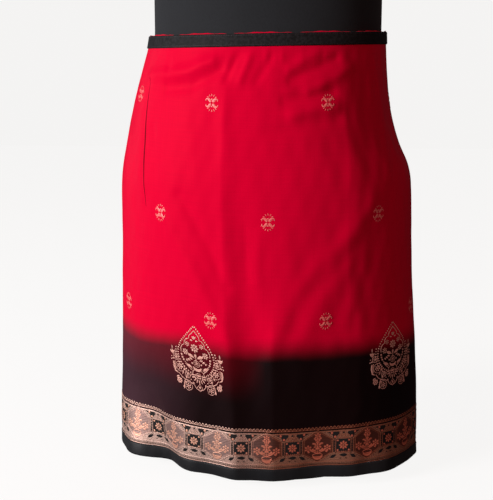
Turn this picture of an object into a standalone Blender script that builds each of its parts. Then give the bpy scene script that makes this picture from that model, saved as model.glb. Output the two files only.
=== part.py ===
"""Knee-length wrap skirt of printed silk, standing on a plain display form.

Metres, +Z up, the skirt's front towards -Y and its left hip, as the viewer sees it, towards -X.
The origin is on the floor under the middle of the form.
The skirt is one panel wrapped once and a lap round the form, with a waistband and a hem binding
sewn along its edges. An angle of 0 degrees is the centre front and 90 degrees is the side at +X.
"""

import math
from collections import namedtuple

import bmesh
import bpy
from mathutils import Vector

MM = 0.001

# Cloth thicknesses, in millimetres
PANEL_WALL = 1.2
BAND_WALL = 1.2
BINDING_WALL = 1.8
SEAM_GAP = 0.3

# Edge levels above the floor, in millimetres
WAIST_LEVEL = 577.0
WAIST_SIDE_TILT = 2.25
WAIST_FRONT_DIP = 2.75
HEM_LEVEL = 18.0
HEM_SIDE_LIFT = 4.5
HEM_DROP = 3.5
HEM_DROP_ANGLE = 62.0
HEM_DROP_WIDTH = 18.0
CLOTH_ABOVE_BAND = 1.5
BAND_HEIGHT = 15.5
BINDING_HEIGHT = 16.0

# Wrap: the panel starts under the lap at the back, goes once round and ends on top of the lap
COLUMNS_PER_TURN = 100
UNDER_END_COLUMN = 41
OVER_END_COLUMN = 160
PANEL_ROWS = 14
LAP_STEP = 3.2
LAP_RISE_ANGLE = 22.0
FRONT_CROWDING = 0.25

# Half-widths of the panel's outer face from the axis at each level, in millimetres
Section = namedtuple("Section", "level left right front back")
SKIRT_SECTIONS = (
    Section(level=4, left=201.5, right=206.0, front=121.0, back=123.0),
    Section(level=77, left=201.5, right=205.0, front=123.0, back=123.0),
    Section(level=163, left=198.3, right=201.0, front=123.0, back=123.0),
    Section(level=219, left=197.0, right=196.5, front=123.0, back=124.5),
    Section(level=302, left=195.3, right=191.5, front=122.5, back=127.5),
    Section(level=383, left=194.5, right=189.0, front=121.0, back=131.0),
    Section(level=410, left=191.5, right=183.5, front=119.5, back=131.0),
    Section(level=437, left=186.3, right=171.5, front=117.5, back=130.0),
    Section(level=470, left=180.0, right=162.0, front=114.5, back=126.0),
    Section(level=501, left=172.0, right=156.5, front=111.0, back=120.0),
    Section(level=529, left=164.0, right=154.0, front=108.0, back=112.0),
    Section(level=557, left=156.0, right=152.5, front=104.0, back=105.0),
    Section(level=581, left=152.0, right=151.5, front=102.0, back=102.0),
)

# Folds of the hanging cloth: a positive height stands out of the section, a negative one sinks in.
# Each fold runs straight from its low end to its high end, and its widths are in degrees round the skirt.
End = namedtuple("End", "angle level height width")
Fold = namedtuple("Fold", "name low high")
FOLDS = (
    Fold("left hem hollow", End(-39, 0, -22.0, 8.5), End(-51, 110, -13.0, 15.0)),
    Fold("left hem flare", End(-61, 0, 6.0, 6.0), End(-60, 50, 1.0, 8.0)),
    Fold("left front hollow", End(-19, 0, -6.5, 6.0), End(-22, 60, -2.0, 7.0)),
    Fold("left pressed crease", End(-8, 0, 3.6, 4.0), End(-14, 500, 0.8, 3.5)),
    Fold("right pressed crease", End(35, 0, 2.0, 4.5), End(40, 500, 0.5, 4.0)),
    Fold("right front hollow", End(21, 0, -10.0, 8.0), End(22, 90, -2.0, 9.0)),
    Fold("right hem flare", End(50, 0, 6.5, 9.0), End(50, 60, 1.0, 9.0)),
    Fold("left drape ridge", End(-12, 200, 2.6, 5.5), End(-34, 330, 1.0, 6.0)),
    Fold("left drape hollow", End(-2, 180, -2.6, 6.0), End(-9, 340, -1.5, 6.0)),
    Fold("right drape ridge", End(15, 195, 1.8, 5.0), End(44, 360, 1.2, 6.5)),
    Fold("right drape hollow", End(26, 190, -2.0, 7.5), End(42, 300, -1.5, 7.5)),
    Fold("lower centre ridge", End(5, 170, 1.6, 4.0), End(11, 285, 0.7, 4.5)),
    Fold("right side hollow", End(104, 0, -9.0, 11.0), End(108, 210, -3.0, 11.0)),
    Fold("right back ridge", End(130, 0, 4.0, 8.0), End(128, 260, 1.5, 8.0)),
    Fold("back lap hollow", End(158, 0, -8.0, 11.0), End(160, 200, -3.0, 11.0)),
    Fold("back ridge", End(184, 0, 4.5, 8.0), End(182, 300, 2.0, 8.0)),
    Fold("left back hollow", End(-142, 0, -9.0, 12.0), End(-146, 220, -3.0, 12.0)),
    Fold("left side hollow", End(-108, 0, -8.0, 11.0), End(-112, 190, -3.0, 11.0)),
)
FOLD_FADE = 90.0

# Display form: its column, and how far its hips stay inside the cloth, in millimetres
FORM_TOP = 658.0
FORM_BOTTOM = 284.0
COLUMN_LEFT = 147.0
COLUMN_RIGHT = 146.0
COLUMN_DEPTH = 96.5
COLUMN_LEVEL = 580.0
HIP_LEVEL = 532.0
FORM_SIDE_CLEARANCE = 3.4
FORM_FRONT_CLEARANCE = 6.5
FORM_BACK_CLEARANCE = 6.8
FORM_EDGE_RADIUS = 14.0
FORM_STRIPS = 40
FORM_LEVELS = (284, 288.1, 298, 330, 360, 385, 405, 425, 445, 470, 500, 530, 556, 580, 612, 644, 653.9, 658)

# Stand, in millimetres
BASE_HALF_WIDTH = 135.0
BASE_HALF_DEPTH = 88.0
BASE_THICKNESS = 8.0
BASE_EDGE = 1.5
BASE_STRIPS = 40
POLE_RADIUS = 12.5
POLE_STRIPS = 20
FLANGE_RADIUS = 30.0
FLANGE_THICKNESS = 5.0
FLANGE_EDGE = 1.0

# Waist button, in millimetres
BUTTON_RADIUS = 6.5
BUTTON_THICKNESS = 2.4
BUTTON_RIM = 0.6
BUTTON_WELL_RADIUS = 4.2
BUTTON_WELL_DEPTH = 0.7
BUTTON_HOLE_RADIUS = 0.8
BUTTON_HOLE_OFFSET = 1.5
BUTTON_STRIPS = 20
BUTTON_GAP = 0.42
BUTTON_FROM_END = 9.0


def smooth_step(value):
    """Ease from 0 to 1 as value goes from 0 to 1."""
    value = min(max(value, 0.0), 1.0)
    return value * value * (3.0 - 2.0 * value)


def table_value(rows, level, column):
    """Read a column of a section table at a level, on a smooth curve through its rows."""
    level = min(max(level, rows[0].level), rows[-1].level)
    index = 0
    while index < len(rows) - 2 and level > rows[index + 1].level:
        index += 1

    def slope(row):
        before = rows[max(row - 1, 0)]
        after = rows[min(row + 1, len(rows) - 1)]
        return (getattr(after, column) - getattr(before, column)) / (after.level - before.level)

    low, high = rows[index], rows[index + 1]
    span = high.level - low.level
    t = (level - low.level) / span
    start, end = getattr(low, column), getattr(high, column)
    return (
        (2 * t**3 - 3 * t**2 + 1) * start
        + (t**3 - 2 * t**2 + t) * span * slope(index)
        + (3 * t**2 - 2 * t**3) * end
        + (t**3 - t**2) * span * slope(index + 1)
    )


def column_angle(column):
    """Give the angle of a panel column in degrees, with the columns closer at the front."""
    even = 2.0 * math.pi * column / COLUMNS_PER_TURN
    return math.degrees(even - FRONT_CROWDING * math.sin(even))


def oval_point(angle, left, right, front, back):
    """Give the point of a four-quarter oval at an angle, and its outward normal."""
    across, along = math.sin(math.radians(angle)), -math.cos(math.radians(angle))
    half_width = right if across > 0 else left
    half_depth = back if along > 0 else front
    point = Vector((half_width * across, half_depth * along))
    normal = Vector((across / half_width, along / half_depth)).normalized()
    return point, normal


def fold_height(angle, level):
    """Add up how far the folds move the cloth out at a place."""
    total = 0.0
    for _, low, high in FOLDS:
        along = (level - low.level) / (high.level - low.level)
        fade = smooth_step(1.0 - (level - high.level) / FOLD_FADE)
        fade *= smooth_step(1.0 + (level - low.level) / FOLD_FADE)
        along = min(max(along, 0.0), 1.0)
        centre, height, width = (
            getattr(low, part) + along * (getattr(high, part) - getattr(low, part))
            for part in ("angle", "height", "width")
        )
        distance = (angle - centre + 180.0) % 360.0 - 180.0
        total += height * fade * math.exp(-((distance / width) ** 2))
    return total


def lap_depth(angle):
    """Give how far the under layer of the wrap sinks in to pass below the over layer."""
    past_lap = angle + 360.0 - column_angle(OVER_END_COLUMN)
    return LAP_STEP * (1.0 - smooth_step(past_lap / LAP_RISE_ANGLE))


def folded_point(angle, level):
    """Give the panel's outer face at an angle and level, folds and lap included, in plan."""
    halves = [table_value(SKIRT_SECTIONS, level, side) for side in ("left", "right", "front", "back")]
    point, normal = oval_point(angle, *halves)
    return point + normal * (fold_height(angle, level) - lap_depth(angle))


def cloth_point(angle, level, out):
    """Give a point that stands out from the panel's outer face, square to it in plan, in metres."""
    step = 0.5
    tangent = folded_point(angle + step, level) - folded_point(angle - step, level)
    normal = Vector((tangent.y, -tangent.x)).normalized()
    place = folded_point(angle, level) + normal * out
    return Vector((place.x, place.y, level)) * MM


def waist_level(angle):
    """Give the level of the waistband's top edge at an angle."""
    turn = math.radians(angle)
    return WAIST_LEVEL + WAIST_SIDE_TILT * math.sin(turn) - WAIST_FRONT_DIP * (1 + math.cos(turn))


def hem_level(angle):
    """Give the level of the hem binding's lower edge at an angle."""
    from_drop = (angle - HEM_DROP_ANGLE + 180.0) % 360.0 - 180.0
    drop = HEM_DROP * math.exp(-((from_drop / HEM_DROP_WIDTH) ** 2))
    return HEM_LEVEL - HEM_SIDE_LIFT * math.cos(2.0 * math.radians(angle)) - drop


def finish_object(name, mesh_builder, material):
    """Make a named, smoothly shaded object from a bmesh and give it its material."""
    bmesh.ops.recalc_face_normals(mesh_builder, faces=mesh_builder.faces)
    mesh = bpy.data.meshes.new(name)
    mesh_builder.to_mesh(mesh)
    mesh_builder.free()
    mesh.shade_smooth()
    mesh.set_sharp_from_angle(angle=math.radians(40.0))
    mesh.materials.append(material)
    made = bpy.data.objects.new(name, mesh)
    bpy.context.scene.collection.objects.link(made)
    return made


def make_material(name, color, roughness, metallic):
    """Make a Principled material."""
    material = bpy.data.materials.new(name)
    material.use_nodes = True
    shader = material.node_tree.nodes["Principled BSDF"]
    shader.inputs["Base Color"].default_value = (*color, 1.0)
    shader.inputs["Roughness"].default_value = roughness
    shader.inputs["Metallic"].default_value = metallic
    return material


def panel_levels(angle):
    """Give the panel's levels at an angle, with two of them on the waistband's edges."""
    low = hem_level(angle) + BINDING_HEIGHT + SEAM_GAP
    band_low, band_high = band_levels(angle)
    rows = [low + (band_low - low) * row / PANEL_ROWS for row in range(PANEL_ROWS + 1)]
    return rows + [band_high, band_high + CLOTH_ABOVE_BAND]


def band_levels(angle):
    """Give the levels of the waistband's two edges at an angle."""
    return [waist_level(angle) - BAND_HEIGHT, waist_level(angle)]


def binding_levels(angle):
    """Give the hem binding's levels at an angle."""
    return [hem_level(angle) + BINDING_HEIGHT * share for share in (0.0, 1.0)]


def make_wall(name, levels_at, outer, inner, material):
    """Make a strip of cloth wall along the whole wrap.

    levels_at gives the levels of its points at an angle, and outer and inner are how far the
    wall's two faces stand out of the panel's outer face.
    """
    builder = bmesh.new()
    faces = []
    for out in (outer, inner):
        sheet = []
        for column in range(UNDER_END_COLUMN, OVER_END_COLUMN + 1):
            angle = column_angle(column)
            sheet.append([builder.verts.new(cloth_point(angle, level, out)) for level in levels_at(angle)])
        faces.append(sheet)
    outside, inside = faces
    last = len(outside) - 1
    rows = len(outside[0]) - 1
    for column in range(last):
        for sheet in faces:
            near, far = sheet[column], sheet[column + 1]
            for row in range(rows):
                builder.faces.new((near[row], far[row], far[row + 1], near[row + 1]))
        after = column + 1
        for row in (0, rows):
            edge = (outside[column][row], outside[after][row], inside[after][row], inside[column][row])
            builder.faces.new(edge)
    for column in (0, last):
        outer_side, inner_side = outside[column], inside[column]
        for row in range(rows):
            edge = (outer_side[row], outer_side[row + 1], inner_side[row + 1], inner_side[row])
            builder.faces.new(edge)
    return finish_object(name, builder, material)


def edge_inset(distance, radius):
    """Give how far a rounded edge draws in at a distance from the end face."""
    if distance >= radius:
        return 0.0
    return radius - math.sqrt(radius**2 - (radius - distance) ** 2)


def form_halves(level):
    """Give the form's half-widths at a level: a straight column over hips that fit the skirt."""
    clearances = {
        "left": FORM_SIDE_CLEARANCE,
        "right": FORM_SIDE_CLEARANCE,
        "front": FORM_FRONT_CLEARANCE,
        "back": FORM_BACK_CLEARANCE,
    }
    column = {"left": COLUMN_LEFT, "right": COLUMN_RIGHT, "front": COLUMN_DEPTH, "back": COLUMN_DEPTH}
    share = smooth_step((level - HIP_LEVEL) / (COLUMN_LEVEL - HIP_LEVEL))
    inset = edge_inset(min(level - FORM_BOTTOM, FORM_TOP - level), FORM_EDGE_RADIUS)
    halves = []
    for side, clearance in clearances.items():
        hips = table_value(SKIRT_SECTIONS, level, side) - clearance
        halves.append(hips + share * (column[side] - hips) - inset)
    return halves


def make_loft(name, rings, material):
    """Skin a stack of rings, each a list of points, and close it with flat end faces."""
    builder = bmesh.new()
    stack = [[builder.verts.new(point) for point in ring] for ring in rings]
    for lower, upper in zip(stack, stack[1:]):
        for index in range(len(lower)):
            after = (index + 1) % len(lower)
            builder.faces.new((lower[index], lower[after], upper[after], upper[index]))
    builder.faces.new(stack[0])
    builder.faces.new(stack[-1])
    return finish_object(name, builder, material)


def make_form_body(material):
    """Make the form's body from ovals, with softly rounded end edges."""
    rings = []
    for level in FORM_LEVELS:
        halves = form_halves(level)
        ring = []
        for strip in range(FORM_STRIPS):
            point, _ = oval_point(360.0 * strip / FORM_STRIPS, *halves)
            ring.append(Vector((point.x, point.y, level)) * MM)
        rings.append(ring)
    return make_loft("form_body", rings, material)


def oval_ring(half_width, half_depth, level, strips):
    """Give the points of a plain oval at a level, in metres."""
    turns = [2.0 * math.pi * strip / strips for strip in range(strips)]
    return [Vector((half_width * math.cos(t), half_depth * math.sin(t), level)) * MM for t in turns]


def make_form_base(material):
    """Make the oval base plate with eased edges."""
    outline = (
        (BASE_EDGE, 0.0),
        (0.0, BASE_EDGE),
        (0.0, BASE_THICKNESS - BASE_EDGE),
        (BASE_EDGE, BASE_THICKNESS),
    )
    rings = [
        oval_ring(BASE_HALF_WIDTH - inset, BASE_HALF_DEPTH - inset, level, BASE_STRIPS)
        for inset, level in outline
    ]
    return make_loft("form_base", rings, material)


def make_form_pole(material):
    """Make the short pole with a flange at each end."""
    low = BASE_THICKNESS + SEAM_GAP
    high = FORM_BOTTOM - SEAM_GAP
    outline = (
        (FLANGE_RADIUS, low),
        (FLANGE_RADIUS, low + FLANGE_THICKNESS - FLANGE_EDGE),
        (FLANGE_RADIUS - FLANGE_EDGE, low + FLANGE_THICKNESS),
        (POLE_RADIUS, low + FLANGE_THICKNESS),
        (POLE_RADIUS, high - FLANGE_THICKNESS),
        (FLANGE_RADIUS - FLANGE_EDGE, high - FLANGE_THICKNESS),
        (FLANGE_RADIUS, high - FLANGE_THICKNESS + FLANGE_EDGE),
        (FLANGE_RADIUS, high),
    )
    rings = [oval_ring(radius, radius, level, POLE_STRIPS) for radius, level in outline]
    return make_loft("form_pole", rings, material)


def make_button(material):
    """Make the four-hole waist button, flat on the over end of the waistband at the back."""
    outline = (
        (BUTTON_RADIUS - BUTTON_RIM, 0.0),
        (BUTTON_RADIUS, BUTTON_RIM),
        (BUTTON_RADIUS, BUTTON_THICKNESS - BUTTON_RIM),
        (BUTTON_RADIUS - BUTTON_RIM, BUTTON_THICKNESS),
        (BUTTON_WELL_RADIUS, BUTTON_THICKNESS),
        (BUTTON_WELL_RADIUS - BUTTON_WELL_DEPTH, BUTTON_THICKNESS - BUTTON_WELL_DEPTH),
    )
    rings = [oval_ring(radius, radius, level, BUTTON_STRIPS) for radius, level in outline]
    button = make_loft("waist_button", rings, material)

    cutter_rings = []
    for turn in range(4):
        spin = math.radians(45.0 + 90.0 * turn)
        centre = Vector((math.cos(spin), math.sin(spin), 0.0)) * BUTTON_HOLE_OFFSET * MM
        low, high = (oval_ring(BUTTON_HOLE_RADIUS, BUTTON_HOLE_RADIUS, level, 8) for level in (-1.0, 4.0))
        cutter_rings.append([[point + centre for point in ring] for ring in (low, high)])
    for turn, rings in enumerate(cutter_rings):
        cutter = make_loft(f"button_hole_{turn + 1}", rings, material)
        cutter.hide_render = True
        cutter.display_type = "WIRE"
        cutter.parent = button
        cut = button.modifiers.new(f"hole_{turn + 1}", "BOOLEAN")
        cut.operation = "DIFFERENCE"
        cut.object = cutter

    angle = column_angle(OVER_END_COLUMN) - BUTTON_FROM_END
    level = sum(band_levels(angle)) / 2.0
    before, after = (cloth_point(angle + step, level, 0.0) for step in (-1.0, 1.0))
    below, above = (cloth_point(angle, height, 0.0) for height in band_levels(angle))
    outward = (after - before).cross(above - below).normalized()
    button.location = cloth_point(angle, level, SEAM_GAP + BAND_WALL) + outward * BUTTON_GAP * MM
    button.rotation_euler = outward.to_track_quat("Z", "Y").to_euler()
    return button


def main():
    """Build the skirt and its form."""
    for old in list(bpy.data.objects):
        bpy.data.objects.remove(old)

    silk = make_material("printed silk", (0.52, 0.004, 0.022), 0.45, 0.0)
    trim = make_material("black cotton", (0.012, 0.011, 0.012), 0.7, 0.0)
    jersey = make_material("black jersey", (0.018, 0.018, 0.02), 0.85, 0.0)
    steel = make_material("painted steel", (0.02, 0.02, 0.022), 0.45, 0.0)
    resin = make_material("button resin", (0.015, 0.014, 0.015), 0.25, 0.0)

    make_wall("skirt_panel", panel_levels, 0.0, -PANEL_WALL, silk)
    make_wall("waistband", band_levels, SEAM_GAP + BAND_WALL, SEAM_GAP, trim)
    binding_out = (BINDING_WALL - PANEL_WALL) / 2.0
    make_wall("hem_binding", binding_levels, binding_out, binding_out - BINDING_WALL, trim)
    make_button(resin)
    make_form_body(jersey)
    make_form_pole(steel)
    make_form_base(steel)


if __name__ == "__main__":
    main()
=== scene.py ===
"""Looks of a knee-length silk wrap skirt with zari motifs, on a plain black display form.

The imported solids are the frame. The cloth here is a thin shell on the form of its solids, with
the pressed creases and drag lines of the real one. Zari figures are flat drawings of raised
thread, repeated along the cloth and laid on it by Geometry Nodes. Lengths in the tables are in
millimetres and angles in degrees: 0 is the centre front, 90 the side at +X, and the unwrapped
angle goes on growing along the wrap from the under end to the over end.
"""

from __future__ import annotations

import logging
import math
from dataclasses import dataclass
from enum import Enum
from functools import partial
from typing import Any, Callable, Iterable, Sequence

import bmesh
import bpy
import numpy as np
from bpy.types import ID, Material, Mesh, Node, NodeSocket, NodeTree, Object
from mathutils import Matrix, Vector
from mathutils.geometry import tessellate_polygon


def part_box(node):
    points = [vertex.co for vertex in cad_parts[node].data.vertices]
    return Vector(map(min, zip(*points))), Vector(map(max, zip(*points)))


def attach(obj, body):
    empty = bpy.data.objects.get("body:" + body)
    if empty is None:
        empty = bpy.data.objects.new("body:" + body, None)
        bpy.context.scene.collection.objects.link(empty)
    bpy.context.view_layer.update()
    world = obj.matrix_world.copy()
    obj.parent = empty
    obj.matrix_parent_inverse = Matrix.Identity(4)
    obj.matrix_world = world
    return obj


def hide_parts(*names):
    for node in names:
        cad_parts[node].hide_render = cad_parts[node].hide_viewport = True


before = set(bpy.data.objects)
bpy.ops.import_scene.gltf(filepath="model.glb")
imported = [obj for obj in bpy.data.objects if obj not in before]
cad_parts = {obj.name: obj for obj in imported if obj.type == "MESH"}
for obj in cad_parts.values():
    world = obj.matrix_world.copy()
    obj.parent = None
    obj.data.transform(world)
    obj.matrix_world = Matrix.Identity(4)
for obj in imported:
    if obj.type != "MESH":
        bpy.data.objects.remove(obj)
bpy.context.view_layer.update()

MM = 0.001
WAVE_LINE = 0.16  # How wide a wave texture's lines are at scale 1.
Point2 = tuple[float, float]
Point3 = tuple[float, float, float]
Array = np.ndarray
Made = tuple[Material, NodeTree, Node]
log = logging.getLogger("skirt")


class Slot(Enum):
    """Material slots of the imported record."""

    SILK = "silk"
    BAND = "band_cotton"
    HEM = "hem_cotton"
    JERSEY = "form_jersey"
    STEEL = "painted_steel"


class Thread(Enum):
    """Which thread a drawing is woven or sewn in."""

    CORAL = "coral"
    PINK = "pink"
    ROSE = "rose"
    COPPER = "copper"
    TAUPE = "taupe"
    BLACK = "black"


def linear(code: str) -> tuple[float, float, float, float]:
    """Turn an sRGB hex colour into linear RGBA.

    Args:
        code: Six hex digits with a leading hash.

    Returns:
        Linear red, green, blue and an alpha of 1.
    """
    parts = [int(code[i:i + 2], 16) / 255.0 for i in (1, 3, 5)]
    red, green, blue = (p / 12.92 if p <= 0.04045 else ((p + 0.055) / 1.055) ** 2.4 for p in parts)
    return red, green, blue, 1.0


def add_node(tree: NodeTree, kind: str, inputs: dict[int | str, Any] | None = None,
             **settings: Any) -> Node:
    """Add a node with its settings, input values and links.

    Args:
        tree: The node tree that gets the node.
        kind: The node's Blender type.
        inputs: Values or output sockets for input sockets, by name or index.
        settings: Attributes of the node.

    Returns:
        The new node.
    """
    node = tree.nodes.new(kind)
    for name, value in settings.items():
        setattr(node, name, value)
    for key, value in (inputs or {}).items():
        socket = node.inputs[key]
        if isinstance(value, NodeSocket):
            tree.links.new(value, socket)
        else:
            socket.default_value = value
    return node


def half_turn(angle: Array) -> Array:
    """Bring an angle in degrees to within half a turn of 0."""
    return (angle + 180.0) % 360.0 - 180.0


def smooth_step(value: Array) -> Array:
    """Ease from 0 to 1 as value goes from 0 to 1."""
    value = np.clip(value, 0.0, 1.0)
    return value * value * (3.0 - 2.0 * value)


@dataclass(frozen=True)
class Section:
    """Half-widths of the panel's outer face from the axis at one level, in millimetres."""

    level: float
    left: float
    right: float
    front: float
    back: float


@dataclass(frozen=True)
class End:
    """One end of a fold: where it is, how far it stands out and how wide it is in degrees."""

    angle: float
    level: float
    height: float
    width: float


@dataclass(frozen=True)
class Dart:
    """A sewn dart: its unwrapped angle, how low it ends and how much cloth it takes in at the waist.

    The front one has its own line, because it leans and bends.
    """

    angle: float
    end: float
    intake: float
    own_line: bool = False


@dataclass(frozen=True)
class Crease:
    """A crease along a path of angles and levels, with its height and half-width in millimetres."""

    name: str
    path: tuple[Point2, ...]
    height: float
    width: float
    crisp: bool = False


SECTIONS = (
    Section(4, 201.5, 206.0, 121.0, 123.0),
    Section(77, 201.5, 205.0, 123.0, 123.0),
    Section(163, 198.3, 201.0, 123.0, 123.0),
    Section(219, 197.0, 196.5, 123.0, 124.5),
    Section(302, 195.3, 191.5, 122.5, 127.5),
    Section(383, 194.5, 189.0, 121.0, 131.0),
    Section(410, 191.5, 183.5, 119.5, 131.0),
    Section(437, 186.3, 171.5, 117.5, 130.0),
    Section(470, 180.0, 162.0, 114.5, 126.0),
    Section(501, 172.0, 156.5, 111.0, 120.0),
    Section(529, 164.0, 154.0, 108.0, 112.0),
    Section(557, 156.0, 152.5, 104.0, 105.0),
    Section(581, 152.0, 151.5, 102.0, 102.0),
)

FOLDS = (
    (End(-39, 0, -22.0, 8.5), End(-51, 110, -13.0, 15.0)),
    (End(-61, 0, 6.0, 6.0), End(-60, 50, 1.0, 8.0)),
    (End(-19, 0, -6.5, 6.0), End(-22, 60, -2.0, 7.0)),
    (End(-8, 0, 3.6, 4.0), End(-14, 500, 0.8, 3.5)),
    (End(35, 0, 2.0, 4.5), End(40, 500, 0.5, 4.0)),
    (End(21, 0, -10.0, 8.0), End(22, 90, -2.0, 9.0)),
    (End(50, 0, 6.5, 9.0), End(50, 60, 1.0, 9.0)),
    (End(-12, 200, 2.6, 5.5), End(-34, 330, 1.0, 6.0)),
    (End(-2, 180, -2.6, 6.0), End(-9, 340, -1.5, 6.0)),
    (End(15, 195, 1.8, 5.0), End(44, 360, 1.2, 6.5)),
    (End(26, 190, -2.0, 7.5), End(42, 300, -1.5, 7.5)),
    (End(5, 170, 1.6, 4.0), End(11, 285, 0.7, 4.5)),
    (End(104, 0, -9.0, 11.0), End(108, 210, -3.0, 11.0)),
    (End(130, 0, 4.0, 8.0), End(128, 260, 1.5, 8.0)),
    (End(158, 0, -8.0, 11.0), End(160, 200, -3.0, 11.0)),
    (End(184, 0, 4.5, 8.0), End(182, 300, 2.0, 8.0)),
    (End(-142, 0, -9.0, 12.0), End(-146, 220, -3.0, 12.0)),
    (End(-108, 0, -8.0, 11.0), End(-112, 190, -3.0, 11.0)),
)

CREASES = (
    Crease("left pressed crease", ((-13.8, 545), (-13.9, 433), (-12.5, 248), (-8.3, 93), (-7.2, 10)),
           0.75, 6, True),
    Crease("right pressed crease", ((41, 530), (39.4, 456), (34.7, 378), (35.2, 200)), 0.45, 6, True),
    Crease("lower centre crease", ((9, 262), (5.7, 230), (5.1, 190), (5.4, 120), (5.2, -20)), 1.9, 11, True),
    Crease("right drape ridge", ((47, 368), (36, 330), (24, 298), (13, 256), (7, 205)), 1.1, 10),
    Crease("right hollow fill", ((37, 262), (27, 195), (26, 110)), 1.0, 15),
    Crease("right fold softening", ((37, 225), (35.5, 110)), -0.8, 8),
    Crease("right hip fill", ((44, 330), (42, 285)), 1.1, 9),
    Crease("right drape shade", ((40, 318), (31, 290), (22, 260)), -0.8, 9),
    Crease("left drape arc", ((-38, 345), (-22, 268), (-12.5, 203)), 1.4, 9),
    Crease("left drape trough", ((-31, 375), (-24, 342), (-18, 309), (-12, 262)), -1.6, 7.5),
    Crease("centre trough", ((-4.8, 338), (-4.2, 272)), -0.8, 5),
    Crease("short centre ridge", ((0.2, 332), (0.0, 272)), 0.8, 6),
    Crease("left waist ridge", ((-58, 522), (-34, 526), (-21, 540)), 3.2, 7.5),
    Crease("left waist trough", ((-44, 506), (-30, 509), (-17, 528)), -2.3, 7.5),
    Crease("left centre drag", ((-14, 518), (-9.6, 547)), -2.1, 4.5),
    Crease("left centre ridge", ((-8, 516), (-3.4, 551)), 1.7, 5),
    Crease("centre drag", ((-1.5, 514), (6.5, 549)), -1.4, 5),
    Crease("right upper ridge", ((13, 529), (27, 551)), 1.6, 5),
    Crease("right upper trough", ((14, 516), (36, 542)), -2.0, 5.5),
    Crease("right middle ridge", ((22, 503), (44, 531)), 1.7, 6.5),
    Crease("right lower drag", ((11, 491), (34, 502)), -1.8, 6),
    Crease("right lower ridge", ((14, 475), (24, 482), (35, 484)), 2.3, 7.5),
    Crease("right lower trough", ((4, 452), (22, 463), (36, 470)), -0.8, 9),
    Crease("right hip trough", ((54, 522), (52, 455), (43, 387)), -1.0, 9),
    Crease("right hip ridge", ((60, 549), (68, 505), (65, 450), (54, 385)), 0.8, 7),
    Crease("right side trough", ((82, 545), (77, 500), (76, 430)), -1.0, 9),
    Crease("hip dimple", ((-45.5, 533), (-44.5, 529)), -1.1, 5),
    Crease("dart dimple", ((-49.0, 457), (-47.5, 450)), -1.0, 5),
    Crease("left side drag", ((-92, 500), (-66, 430)), -0.9, 12),
    Crease("left dart swell", ((-60, 500), (-52, 385)), 0.9, 12),
    Crease("left side crease", ((-95, 400), (-98, 60)), 1.0, 8, True),
    Crease("right side crease", ((98, 380), (102, 50)), 1.2, 8, True),
    Crease("back left drape", ((-125, 330), (-150, 190)), 1.8, 11),
    Crease("back right drape", ((125, 320), (150, 170)), 1.8, 11),
    Crease("back pressed crease", ((178, 500), (180, 60)), 1.2, 8, True),
    Crease("back waist drag left", ((-165, 545), (-130, 500)), -1.0, 9),
    Crease("back waist drag right", ((165, 545), (132, 495)), -1.0, 9),
    Crease("back lower drape", ((-172, 300), (-158, 215)), 1.3, 10),
    Crease("back hip drag", ((158, 470), (138, 420)), -0.9, 11),
)
DARTS = (
    Dart(170.0, 395, 42.0),
    Dart(215.0, 400, 42.0),
    Dart(262.0, 390, 40.0),
    Dart(306.5, 360, 30.0, own_line=True),
    Dart(446.0, 390, 45.0),
    Dart(494.0, 405, 45.0),
    Dart(544.0, 405, 45.0),
)
PUCKERS = ((-29, 0.5), (-17, 0.7), (-10, 0.8), (-1, 0.5), (3, 0.9), (7, 0.8), (10, 0.9), (19, 0.5), (31, 0.6))


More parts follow.
